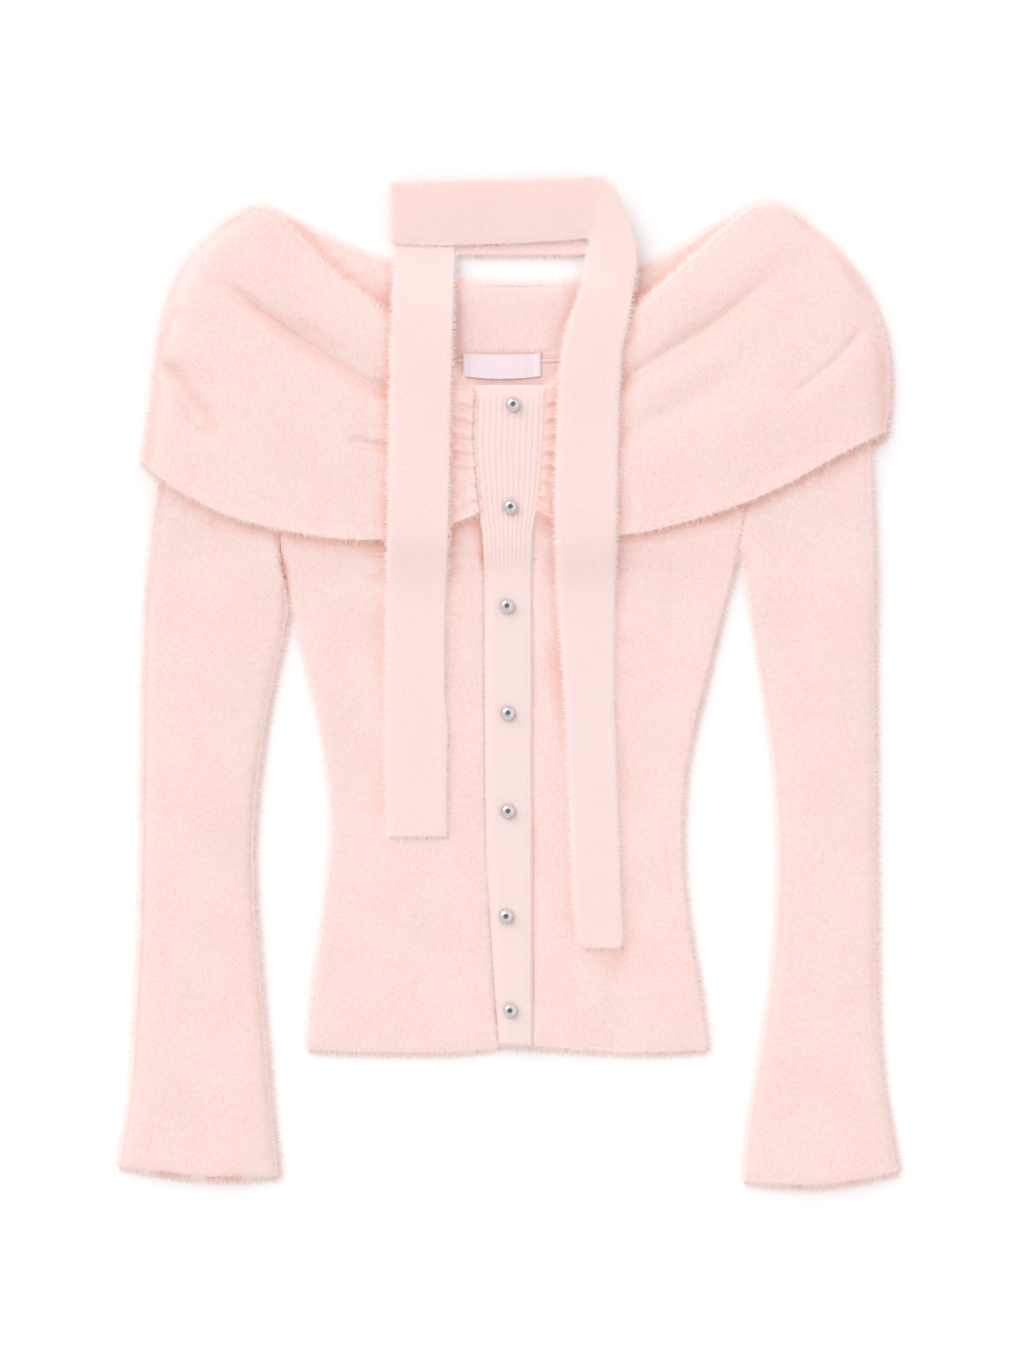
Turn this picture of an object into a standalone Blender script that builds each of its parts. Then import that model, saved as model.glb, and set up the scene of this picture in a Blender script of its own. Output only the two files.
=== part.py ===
"""Off-shoulder knit cardigan with a long matching scarf, laid flat with its front up.

X runs from the wearer's right sleeve to the left one, Y from the cuffs up to the scarf and Z up
from the table. The origin is on the table, in the middle of the outline. Sizes are in
millimetres here and become metres when a mesh is made.
"""

from math import cos, exp, hypot, pi, sin
from types import SimpleNamespace

import bmesh
import bpy

MM = 0.001
MIDDLE = (-1.4, 2.61)  # middle of the outline, as the tables below have it

# Cloth, and how its layers lie on each other
WALL = 2.6  # brushed knit, nap included
GAP = 0.4  # clear space between two layers and at a seam
LAYER = WALL + GAP
COLLAR_TOP = 3 * LAYER + WALL  # upper skin of the collar's outer layer before it puffs up
SEWN_ON = 0.3  # clear space under the label and the buttons

# Sleeves are flattened tubes
TUBE = 7.0  # height of a flattened sleeve
TUBE_DOME = 1.6  # how much its middle stands up below the collar

# Where the body climbs onto the collar's back flap, and the rows of points of flat pieces
LIFT_FROM, LIFT_TO = 83, 113
SLEEVE_LIFT = (55, 98)  # the same for the sleeves
STATIONS = (-230, -170, -110, -55, 0, 45, 83, 93, 103, 113, 150, 190)

# Ribbed front band
RIBS = 12
RIB_GROOVE = 1.9
RIB_CREST = 2.9
RIB_FAINT = 0.45  # share of its height that a rib keeps below the waist
RIBS_RISE = (0, 110)  # where the ribs grow to their full height

# Buttons
BUTTON_RADIUS = 5.4
BUTTON_HEIGHT = 4.8
BUTTONS = ((2, 215.6), (0, 137.0), (-2.7, 60.8), (-1.9, -21.6), (-1.9, -97.0), (-3.5, -177.9),
           (-0.4, -250.3))

KNIT_PINK = (0.94, 0.70, 0.67)
SATIN_LILAC = (0.90, 0.78, 0.84)
STEEL = (0.62, 0.62, 0.64)


class Table:
    """A short table with named columns, read between its rows on a smooth curve."""

    def __init__(self, columns, *rows):
        self.columns = columns.split()
        self.rows = rows

    def at(self, key):
        rows = self.rows
        key = min(max(key, rows[0][0]), rows[-1][0])
        i = max(n for n in range(len(rows) - 1) if rows[n][0] <= key)
        width = rows[i + 1][0] - rows[i][0]
        t = (key - rows[i][0]) / width
        found = {}
        for c, name in enumerate(self.columns):
            a, b = rows[i][c], rows[i + 1][c]
            start, end = self.slope(i, c) * width, self.slope(i + 1, c) * width
            found[name] = (a * (1 + 2 * t) * (1 - t) ** 2 + b * (3 - 2 * t) * t * t
                           + start * t * (1 - t) ** 2 - end * t * t * (1 - t))
        return SimpleNamespace(**found)

    def slope(self, i, c):
        """Slope of a column at a row, level where the column stops rising or falling."""
        here = self.rows[i]
        low, high = self.rows[max(i - 1, 0)], self.rows[min(i + 1, len(self.rows) - 1)]
        inner = low is not here and high is not here
        if inner and (here[c] - low[c]) * (high[c] - here[c]) <= 0:
            return 0
        return (high[c] - low[c]) / (high[0] - low[0])


# Side edges of the body, hem to armhole
BODY = Table(
    "y left right",
    (-284, -155.5, 151.5),
    (-250, -155.0, 149.5),
    (-204, -147.0, 139.0),
    (-158, -139.5, 132.0),
    (-112, -135.5, 130.5),
    (-77, -136.5, 132.0),
    (-42, -142.5, 138.0),
    (-12, -149.0, 147.0),
    (27, -159.5, 156.5),
    (55, -167.5, 163.0),
    (73, -171.5, 167.5),
    (99, -176.5, 173.5),
    (118, -177.5, 178.0),
    (150, -177.5, 183.5),
    (200, -171.5, 178.0),
    (254, -161.0, 163.0),
)

# Lower edge of the body, and the upper edges of its back and fronts
HEM = Table("x y", (-156, -281.5), (-99, -284), (-31, -283), (-12, -278), (17, -279),
            (58, -282), (110, -284), (152, -281.5))
BACK_TOP = Table("x y", (-165, 252.5), (0, 249), (165, 252.5))
FRONT_TOP = Table("x y", (-161, 252.5), (-90, 235.5), (-21, 219), (15, 219), (90, 235.5),
                  (163, 252.5))

# Ribbed band: its two edges, and where the seam to the wearer's right front runs
BAND = Table(
    "y left right",
    (-277, -9.0, 17.6),
    (-231, -12.4, 17.3),
    (-192, -15.0, 17.3),
    (-140, -18.6, 17.3),
    (-60, -19.8, 17.3),
    (96, -20.3, 17.3),
    (117, -21.0, 18.0),
    (142, -25.0, 22.0),
    (181, -29.4, 25.4),
    (231, -27.6, 27.3),
)
BAND_FOOT = 1.6  # level strip beside its seam
BAND_SLOPE = 4.5  # width over which the band then climbs onto the band below
BAND_FLAT_FROM = 100  # above this the whole band lies on the front
BAND_CLIMBS_FROM = 78  # where it starts to leave the front's level
BAND_OVERLAP = 8  # how far the spread part of the band lies over the front beside its seam
BAND_TOP = BAND.rows[-1][0]
BAND_HEM_SLANT = 1.5
UNDER_BAND = (-276, 217)  # lower and upper end of the band with the buttons
LEFT_FRONT_EDGE = 16.0  # centre front of the wearer's left front, under the band's free edge

# Rows of the collar. Row 0 is sewn to the ribbed band and row 7 is the side fold. tuck is how
# far the inner layer reaches down from the fold at the neck.
COLLAR_RIGHT = Table(
    "row neck_x neck_y free_x free_y bow skew tuck",
    (0, -28.1, 228.7, -24.6, 133.2, 0, 0, 6.5),
    (1, -54.3, 249.5, -48.9, 122.4, 0, 0, 21),
    (2, -89.7, 281.8, -91.2, 110.9, 0, 0, 44),
    (3, -126.7, 309.5, -135.1, 111.7, 3, 1, 63),
    (4, -152.8, 333.4, -179.0, 119.4, 6, 3, 81),
    (5, -169.8, 351.1, -217.5, 128.6, 11, 6, 97),
    (6, -180.6, 366.0, -253.0, 147.1, 19, 13, 112),
    (7, -196.5, 367.5, -284.5, 172.5, 30, 21, 122),
)
COLLAR_LEFT = Table(
    "row neck_x neck_y free_x free_y bow skew tuck",
    (0, 27.3, 228.7, 22.7, 134.0, 0, 0, 6.5),
    (1, 54.3, 251.8, 48.9, 120.1, 0, 0, 23),
    (2, 89.7, 284.1, 84.3, 114.0, 0, 0, 47),
    (3, 126.7, 316.5, 124.4, 122.4, 3, 0, 70),
    (4, 152.8, 340.3, 169.0, 134.8, 7, 0, 88),
    (5, 169.8, 357.3, 215.2, 154.8, 13, 0, 104),
    (6, 184.0, 368.0, 256.0, 179.4, 22, 0, 118),
    (7, 203.5, 370.0, 289.1, 194.8, 36, 0, 126),
)
COLLAR_BACK = Table(
    "row neck_x neck_y free_x free_y bow skew tuck",
    (0, -196.5, 366.9, -283.0, 174.8, 30, 21, 121),
    (1, -171.3, 361.9, -239.1, 142.5, 15, 8, 110),
    (2, -148.2, 348.8, -191.3, 126.3, 7, 3, 96),
    (3, -122.0, 336.5, -139.0, 119.4, 3, 1, 83),
    (4, -88.9, 324.2, -88.9, 115.5, 0, 0, 72.5),
    (5, -46.6, 311.1, -42.7, 114.7, 0, 0, 60.5),
    (6, 7.3, 309.5, 7.3, 114.7, 0, 0, 59.5),
    (7, 61.2, 311.1, 61.2, 115.5, 0, 0, 60.5),
    (8, 103.6, 322.6, 115.1, 121.7, 3, 0, 70.5),
    (9, 138.2, 341.1, 165.2, 134.0, 7, 0, 88),
    (10, 167.5, 361.1, 215.2, 154.8, 13, 0, 108),
    (11, 184.4, 368.1, 257.6, 177.1, 22, 0, 118),
    (12, 203.5, 369.4, 290.5, 190.0, 36, 0, 124),
)
FRONT_ROWS = (0, 0.22, 0.5, 0.9, 1.5, 2.2, 3, 4, 5, 6, 6.6, 6.85, 7)
BACK_ROWS = (0, 0.15, 0.4, 1, 2, 3, 4, 5, 6, 7, 8, 9, 10, 11, 11.6, 11.85, 12)
TUCKED_STEPS = 3  # faces across the layer inside the neck fold
FOLD_STEPS = 4  # faces round the fold
TUCK_INSET = 0.36  # rows by which the hidden layer stays inside the side fold
BACK_ROLL = 1.4  # how far the neck fold stands up at the back
ROLL_ROWS = (2.2, 4)  # rows over which it starts

# How far the collar's outer layer stands up at its folds, at its free edge and in between
PUFF_FOLD, PUFF_FREE, PUFF_LOOSE = 1.9, 1.5, 2.6
PUFF_LEAST = 0.6
LOOSE_ROWS = (2.2, 3.4)  # rows over which the gathers let it go
FALLS_FROM = 6.55  # row from which it falls to the side fold
FALL_CLEAR = 0.2

# Soft troughs in the collar's outer layer, each through three places
CREASES_RIGHT = (
    # start, middle and end as x, y; depth; half width
    (-229, 315, -163, 271, -95, 228, 3.2, 9),
    (-264, 252, -251, 223, -233, 198, 1.8, 10),
    (-128, 190, -112, 184, -92, 182, 1.6, 7),
)
CREASES_LEFT = (
    (88, 236, 143, 265, 198, 310, 3.0, 9),
    (90, 191, 151, 221, 198, 246, 1.8, 11),
    (216, 234, 246, 254, 268, 281, 2.4, 9),
)
GATHERS = 8  # pleats of each collar end where it is sewn to the ribbed band
GATHER_RISE = 1.0
GATHER_REACH = 24.0

# Edges of a sleeve from the cuff to the underarm
SLEEVE_RIGHT = Table(
    "row out_x out_y in_x in_y sag",
    (0, -302.3, -371.0, -178.0, -379.0, 4.5),
    (1, -297.6, -342.7, -181.3, -345.0, 2),
    (2, -292.4, -311.9, -185.5, -312.0, 0),
    (3, -291.0, -273.4, -187.5, -273.4, 0),
    (4, -288.0, -227.2, -192.0, -227.2, 0),
    (5, -286.0, -181.0, -196.0, -181.0, 0),
    (6, -285.0, -127.0, -198.5, -127.0, 0),
    (7, -284.7, -73.2, -194.5, -73.2, 0),
    (8, -284.2, -19.3, -186.5, -19.3, 0),
    (9, -283.2, 27.0, -176.5, 27.0, 0),
    (10, -282.2, 64.0, -170.0, 56.0, 0),
)
SLEEVE_LEFT = Table(
    "row out_x out_y in_x in_y sag",
    (0, 299.5, -375.0, 180.2, -382.5, 6.5),
    (1, 295.0, -348.0, 182.5, -345.0, 3),
    (2, 289.0, -318.0, 188.0, -312.0, 0),
    (3, 284.0, -273.4, 195.0, -273.4, 0),
    (4, 283.0, -227.2, 201.5, -227.2, 0),
    (5, 282.5, -181.0, 206.0, -181.0, 0),
    (6, 282.0, -127.0, 207.5, -127.0, 0),
    (7, 282.0, -73.2, 205.0, -73.2, 0),
    (8, 281.7, -19.3, 198.0, -19.3, 0),
    (9, 281.5, 36.0, 188.5, 38.0, 0),
    (10, 281.4, 92.0, 180.8, 97.0, 0),
)
UNDERARM = 10  # row of the sleeve tables where the armhole starts
# Outer corner of a sleeve's hidden top, and heights at which its armhole has a point
SLEEVE_TOP = {"right": (-263.5, 251.5), "left": (277.0, 251.5)}
ARMHOLE = {"right": (190, 150, 113, 93, 83, 72), "left": (190, 150, 125, 113, 108, 105)}

# The scarf. A tail's edges, upper end to tip
TAIL_RIGHT = Table(
    "y left right",
    (-117, -93.2, -49.2),
    (-110, -94.2, -48.8),
    (-50, -95.2, -49.2),
    (-26, -94.8, -46.8),
    (-14, -94.6, -50.8),
    (65, -94.2, -50.2),
    (119, -93.2, -48.2),
    (196, -92.2, -46.6),
    (258, -91.2, -45.2),
    (335, -88.0, -43.2),
    (379, -87.5, -43.0),
)
TAIL_LEFT = Table(
    "y left right",
    (-203, 57.0, 84.5),
    (-198, 53.0, 87.0),
    (-165, 48.5, 85.2),
    (-88, 46.5, 82.6),
    (-12, 42.8, 79.8),
    (65, 37.0, 80.4),
    (142, 34.6, 81.6),
    (219, 37.0, 83.0),
    (258, 40.0, 85.5),
    (281, 44.5, 90.5),
    (300, 49.0, 94.0),
    (316, 54.0, 96.5),
    (331, 58.6, 96.0),
)
# Pairs of edge points along the neck strip, from its left end round the bend to the left tail
NECK = Table(
    "row top_x top_y low_x low_y",
    (0, -92.0, 384.5, -92.0, 340.0),
    (1, -84.0, 386.5, -84.0, 339.2),
    (2, -46.0, 387.5, -46.0, 338.6),
    (3, 8.0, 388.5, 8.0, 340.2),
    (4, 45.0, 389.5, 46.0, 342.5),
    (5, 68.0, 391.0, 60.5, 344.0),
    (6, 79.0, 383.5, 61.5, 342.0),
    (7, 87.0, 364.0, 60.5, 337.5),
    (8, 95.5, 339.5, 59.0, 332.0),
)
UNDER_STRIP = (-87.5, 67.0, 331.5, 379.0)
TAIL_SLANT = 7.5  # how much the left tail's outer corner follows the neck strip's slanted end
SLANT_FROM = 0.93  # share of its length where that starts

# Height of a tail's underside on its way down over the collar and the front
TAIL_RIGHT_HEIGHT = Table("y z", (-117, 2 * LAYER), (78, 2 * LAYER), (107, 14.4), (200, 14.6),
                          (288, 14.4), (318, 7.8), (324, 7.6), (339, LAYER), (379, LAYER))
TAIL_LEFT_HEIGHT = Table("y z", (-203, 2 * LAYER), (78, 2 * LAYER), (107, 14.4), (200, 14.6),
                         (293, 14.4), (318, 7.8), (331, 2 * LAYER))

LABEL = SimpleNamespace(x=-6.6, half=30.1, low=238.0, high=255.8, sag=2.4, wall=0.8, rise=2.4,
                        bulge=0.8, fold_back=7.0, z=LAYER + WALL + SEWN_ON)


def smooth(low, high, value):
    """0 below low, 1 above high and an easy curve between."""
    t = min(max((value - low) / (high - low), 0), 1)
    return t * t * (3 - 2 * t)


def mix(a, b, t):
    return a + (b - a) * t


def lift(y):
    """How far the back flap of the collar raises what lies on it."""
    return LAYER * smooth(LIFT_FROM, LIFT_TO, y)


def station(v, low, high):
    """Height above the cuffs of a row of points. Rows between the two ends are shared by all
    flat pieces, so that they bend at the same places."""
    row = round(v * (len(STATIONS) + 1))
    if row == 0:
        return low
    return high if row > len(STATIONS) else STATIONS[row - 1]


def material(name, colour, roughness, metallic=0.0):
    found = bpy.data.materials.new(name)
    found.use_nodes = True
    shader = found.node_tree.nodes["Principled BSDF"]
    shader.inputs["Base Color"].default_value = (*colour, 1)
    shader.inputs["Roughness"].default_value = roughness
    shader.inputs["Metallic"].default_value = metallic
    return found


def add_object(name, mesh, look):
    piece = bpy.data.objects.new(name, mesh)
    cardigan.objects.link(piece)
    mesh.materials.append(material(f"{name}_{look[0]}", *look[1:]))
    return piece


def cloth(name, across, along, place, wall=WALL, base="under", closed=False, raised=None,
          look=("knit", KNIT_PINK, 0.9)):
    """A grid bent to place(u, v) and thickened.

    base says which skin the grid is: "under" thickens it upwards, "outer" inwards.
    raised(u, v) gives the share of the wall at each point, for ribs.
    """
    bm = bmesh.new()
    bmesh.ops.create_grid(bm, x_segments=across, y_segments=along, size=1)
    shares = []
    for vert in bm.verts:
        u, v = (vert.co.x + 1) / 2, (vert.co.y + 1) / 2
        shares.append(raised(u, v) if raised else 1)
        x, y, z = place(u, v)
        vert.co = (MM * (x - MIDDLE[0]), MM * (y - MIDDLE[1]), MM * z)
    if closed:
        bmesh.ops.remove_doubles(bm, verts=bm.verts, dist=1e-6)
    mesh = bpy.data.meshes.new(name)
    bm.to_mesh(mesh)
    bm.free()
    piece = add_object(name, mesh, look)
    thicken = piece.modifiers.new("Wall", "SOLIDIFY")
    thicken.thickness = wall * MM
    thicken.offset = 1 if base == "under" else -1
    if raised:
        group = piece.vertex_groups.new(name="ribs")
        for index, share in enumerate(shares):
            group.add([index], share, "REPLACE")
        thicken.vertex_group = "ribs"
    return piece


# The body

def panel_point(left, right, top, level):
    """A place function for a flat panel between two edges, the hem and its top edge."""

    def place(u, v):
        side = mix(left(0), right(0), u)
        y = station(v, HEM.at(side).y, top.at(side).y)
        return mix(left(y), right(y), u), y, level + lift(y)

    return place


def body_left(y):
    return BODY.at(y).left


def body_right(y):
    return BODY.at(y).right


def right_front_seam(y):
    """Centre front edge of the wearer's right front, where the upper band is sewn on."""
    return min(BAND.at(min(y, BAND_FLAT_FROM)).left, BAND.at(y).left + BAND_OVERLAP) - GAP


def straight_edge(edge, y, top):
    """Where an edge of a flat piece is at height y, straight between the piece's rows."""
    rows = (*STATIONS, top)
    i = max(n for n in range(len(rows) - 1) if rows[n] <= y or n == 0)
    return mix(edge(rows[i]), edge(rows[i + 1]), (y - rows[i]) / (rows[i + 1] - rows[i]))


def add_body():
    rows = len(STATIONS) + 1
    cloth("back_panel", 8, rows, panel_point(body_left, body_right, BACK_TOP, 0))
    cloth("front_right_panel", 5, rows,
          panel_point(body_left, right_front_seam, FRONT_TOP, LAYER))
    cloth("front_left_panel", 5, rows,
          panel_point(lambda y: LEFT_FRONT_EDGE, body_right, FRONT_TOP, LAYER))


# The ribbed bands

def add_bands():
    hem = BAND.rows[0][0]

    def under(u, v):
        y = station(v, *UNDER_BAND)
        left = BAND.at(min(y, BAND_FLAT_FROM)).left + BAND_FOOT + BAND_SLOPE + GAP
        x = mix(left, LEFT_FRONT_EDGE - GAP, u)
        return x, y, LAYER + lift(y)

    def upper(u, v):
        y = station(v, hem - BAND_HEM_SLANT * u, BAND_TOP)
        edges = BAND.at(y)
        x = mix(edges.left, edges.right, u)
        dip = 1 - smooth(BAND_CLIMBS_FROM, BAND_FLAT_FROM, y)
        climb = smooth(0, BAND_SLOPE, x - edges.left - BAND_FOOT)
        z = 2 * LAYER + lift(y) - (1 - climb) * dip * LAYER
        return x, y, z

    def rib(u, v):
        crest = 0.5 - 0.5 * cos(2 * pi * RIBS * u)
        strength = mix(RIB_FAINT, 1, smooth(*RIBS_RISE, station(v, hem, BAND_TOP)))
        return mix(RIB_GROOVE, RIB_CREST, crest * strength) / RIB_CREST

    rows = len(STATIONS) + 1
    cloth("band_under", 3, rows, under)
    cloth("band_upper", 2 * RIBS, rows, upper, wall=RIB_CREST, raised=rib)


# The collar

def row_point(row, far):
    """A place on the table's plan, far millimetres from the neck fold along a collar row."""
    dx, dy = row.free_x - row.neck_x, row.free_y - row.neck_y
    length = hypot(dx, dy)
    t = far / length
    outward = -1 if row.neck_x < 0 else 1
    side = 4 * t * (1 - t) * (row.bow + row.skew * (1 - 2 * t))
    return (row.neck_x + dx * t - outward * dy / length * side,
            row.neck_y + dy * t + outward * dx / length * side)


def row_length(row):
    return hypot(row.free_x - row.neck_x, row.free_y - row.neck_y)


def hairpin(w, tuck, length, radius, outer):
    """Path of a band folded at the neck: how far from the fold, and the angle round it.

    The angle is 0 on the tucked layer and pi on the other one, which has outer faces across.
    """
    folded = TUCKED_STEPS + FOLD_STEPS
    step = round(w * (folded + outer))
    if step <= TUCKED_STEPS:
        return mix(tuck, radius, step / TUCKED_STEPS), 0
    if step <= folded:
        angle = pi * (step - TUCKED_STEPS) / FOLD_STEPS
        return radius * (1 - sin(angle)), angle
    return mix(radius, length, (step - folded) / outer), pi


def near_crease(x, y, crease):
    """Depth of a soft trough at one place, fading at its two ends."""
    ax, ay, bx, by, cx, cy, depth, width = crease
    deepest = 0
    for (px, py, qx, qy, start, end) in ((ax, ay, bx, by, 0, 0.5), (bx, by, cx, cy, 0.5, 1)):
        dx, dy = qx - px, qy - py
        t = min(max(((x - px) * dx + (y - py) * dy) / (dx * dx + dy * dy), 0), 1)
        away = hypot(x - px - dx * t, y - py - dy * t)
        fade = sin(pi * min(max(mix(start, end, t), 0.12), 0.88))
        deepest = max(deepest, depth * fade * exp(-((away / width) ** 2)))
    return deepest


def puff(row_number, far, length):
    """How far the collar's outer layer stands above the layers under it."""
    middle = smooth(0, 40, far) * smooth(0, 70, length - far)
    loose = smooth(*LOOSE_ROWS, row_number)
    flat = mix(PUFF_FOLD, PUFF_FREE, smooth(length - 60, length, far))
    return flat + loose * PUFF_LOOSE * middle


def add_front_collar(name, table, creases, side, outer=24):
    """One end of the collar, from the gathers at the ribbed band to the side fold."""
    strips = len(FRONT_ROWS) - 1
    first = table.at(0)
    side_fold = FRONT_ROWS[-1]

    def band_edge(y):
        return BAND.at(y).left if side < 0 else BAND.at(y).right

    def top_skin(number, far, length, x, y):
        rise = puff(number, far, length)
        rise -= sum(near_crease(x, y, c) for c in creases)
        gathered = exp(-(((x - band_edge(y)) / GATHER_REACH) ** 2))
        wave = GATHER_RISE * (1 + cos(2 * pi * GATHERS * far / length))
        z = COLLAR_TOP + mix(max(rise, PUFF_LEAST), wave, gathered)
        drop = smooth(FALLS_FROM, side_fold, number) * smooth(6, 30, far)
        return mix(z, 2 * LAYER + FALL_CLEAR, drop)

    def place(u, v):
        number = FRONT_ROWS[round(u * strips)]
        row = table.at(number)
        length = row_length(row)
        low = 2 * LAYER
        radius = (COLLAR_TOP + PUFF_FOLD - low) / 2
        far, angle = hairpin(v, row.tuck, length, radius, outer)
        tucked, outside = angle == 0, angle == pi
        if tucked:
            inset = TUCK_INSET * smooth(radius, 20, far) * smooth(side_fold - 1.5, side_fold, number)
            row = table.at(number - inset)
        x, y = row_point(row, far)
        seam_x, seam_y = row_point(first, far / length * row_length(first))
        seam = straight_edge(band_edge, min(seam_y, BAND_TOP), BAND_TOP) + side * 2 * GAP
        x += (seam - seam_x) * max(0, 1 - number)
        if tucked:
            return x, y, low
        if outside:
            return x, y, top_skin(number, far, length, x, y)
        high = top_skin(number, radius, length, x, y)
        return x, y, mix(low, high, (1 - cos(angle)) / 2)

    def facing(u, v):
        return place(u, v) if side < 0 else place(u, 1 - v)

    cloth(name, strips, TUCKED_STEPS + FOLD_STEPS + outer, facing, base="outer")


def add_back_collar(outer=5):
    strips = len(BACK_ROWS) - 1
    last = BACK_ROWS[-1]

    def place(u, v):
        number = BACK_ROWS[round(u * strips)]
        row = COLLAR_BACK.at(number)
        roll = BACK_ROLL * smooth(*ROLL_ROWS, number) * smooth(*ROLL_ROWS, last - number)
        radius = (LAYER + WALL + roll) / 2
        far, angle = hairpin(v, row.tuck, row_length(row), radius, outer)
        tucked, outside = angle == 0, angle == pi
        if tucked:
            inset = TUCK_INSET * smooth(radius, 20, far)
            inset *= smooth(1.5, 0, number) - smooth(last - 1.5, last, number)
            row = COLLAR_BACK.at(number + inset)
        x, y = row_point(row, far)
        top = LAYER + WALL + roll * (1 - smooth(radius, 30, far))
        if tucked:
            return x, y, top
        if outside:
            return x, y, 0
        return x, y, (LAYER + WALL + roll) * (1 + cos(angle)) / 2

    cloth("collar_back", strips, TUCKED_STEPS + FOLD_STEPS + outer, place, base="outer")


# The sleeves

def armhole(side, steps):
    """Places along a sleeve's upper end: in from the outer corner, then down the armhole."""
    out_x, out_y = SLEEVE_TOP[side]
    edge = body_left if side == "right" else body_right
    away = -2 * GAP if side == "right" else 2 * GAP
    panel_top = BACK_TOP.rows[0][1]
    corner = edge(panel_top) + away
    heights = ARMHOLE[side]
    along_top = steps + 2 - len(heights)
    places = [(mix(out_x, corner, k / along_top), out_y) for k in range(along_top + 1)]
    return places + [(straight_edge(edge, y, panel_top) + away, y) for y in heights]


def add_sleeve(name, table, side, rows_above=4):
    """A flattened tube, open at the cuff and along the armhole."""
    flat, bend = 8, 3
    around = 2 * (flat + bend)
    below = UNDERARM + 1
    rows = below + rows_above
    radius = TUBE / 2
    ends = armhole(side, flat)

    def across(v, step):
        """A place in plan: v from cuff to armhole, step from the outer edge to the inner one."""
        number = v * rows
        row = table.at(min(number, below) * UNDERARM / below)
        edge = radius / hypot(row.in_x - row.out_x, row.in_y - row.out_y)
        s = (0, *(mix(edge, 1 - edge, k / flat) for k in range(flat + 1)), 1)[step]
        x = mix(row.out_x, row.in_x, s)
        y = mix(row.out_y, row.in_y, s) - row.sag * 4 * s * (1 - s)
        t = max(number - below, 0) / rows_above
        return mix(x, ends[step][0], t), mix(y, ends[step][1], t), s

    def place(u, v):
        step = round(u * around) % around
        if step <= flat:
            (x, y, s), up = across(v, step + 1), 1
        elif step < flat + bend:
            angle = pi * (step - flat) / bend
            (ax, ay, s), (bx, by, s) = across(v, flat + 1), across(v, flat + 2)
            x, y = mix(ax, bx, sin(angle)), mix(ay, by, sin(angle))
            up = (1 + cos(angle)) / 2
        elif step <= 2 * flat + bend:
            (x, y, s), up = across(v, 2 * flat + bend - step + 1), 0
        else:
            angle = pi * (step - 2 * flat - bend) / bend
            (ax, ay, s), (bx, by, s) = across(v, 1), across(v, 0)
            x, y = mix(ax, bx, sin(angle)), mix(ay, by, sin(angle))
            up = (1 - cos(angle)) / 2
        dome = TUBE_DOME * 4 * s * (1 - s) * (1 - smooth(40, 90, y)) * up
        return x, y, LAYER * smooth(*SLEEVE_LIFT, y) + TUBE * up + dome

    def facing(u, v):
        return place(u, v) if side == "right" else place(1 - u, v)

    cloth(name, around, rows, facing, base="outer", closed=True)


# The scarf

def add_scarf():
    left, right, low, high = UNDER_STRIP
    cloth("scarf_neck_under", 6, 2, lambda u, v: (mix(left, right, u), mix(low, high, v), 0))

    def neck(u, v):
        row = NECK.at(u * NECK.rows[-1][0])
        return mix(row.low_x, row.top_x, v), mix(row.low_y, row.top_y, v), 2 * LAYER

    cloth("scarf_neck", 16, 3, neck)

    def tail(edges, height):
        def place(u, v):
            y = mix(edges.rows[0][0], edges.rows[-1][0], v)
            row = edges.at(y)
            return mix(row.left, row.right, u), y, height.at(y).z

        return place

    cloth("scarf_tail_right", 3, 24, tail(TAIL_RIGHT, TAIL_RIGHT_HEIGHT))

    plain = tail(TAIL_LEFT, TAIL_LEFT_HEIGHT)

    def slanted(u, v):
        """The left tail's upper end follows the slant where the neck strip stops."""
        x, y, z = plain(u, v)
        return x, y + TAIL_SLANT * u * smooth(SLANT_FROM, 1, v), z

    cloth("scarf_tail_left", 3, 26, slanted)


# Label and buttons

def add_label():
    """A folded satin ribbon whose two ends are turned under."""
    label = LABEL
    radius = label.rise / 2
    ends, bend, middle = 1, 4, 8
    path = []
    for step in range(ends + bend):
        if step < ends:
            path.append((-label.half + label.fold_back, 0))
        else:
            angle = pi * (step - ends) / bend
            path.append((-label.half + radius * (1 - sin(angle)),
                         radius * (1 - cos(angle))))
    half = [(-label.half + radius, label.rise)]
    for step in range(1, middle // 2 + 1):
        t = step / middle
        half.append((mix(-label.half + radius, label.half - radius, t),
                     label.rise + label.bulge * sin(pi * t)))
    left = path + half
    whole = left + [(-x, z) for x, z in reversed(left[:-1])]
    across = len(whole) - 1

    def place(u, v):
        x, z = whole[round(u * across)]
        sag = label.sag * (1 - (x / label.half) ** 2)
        return label.x + x, mix(label.low, label.high, v) - sag * (1 - 0.5 * v), label.z + z

    cloth("neck_label", across, 2, place, wall=label.wall, base="outer",
          look=("satin", SATIN_LILAC, 0.35))


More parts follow.
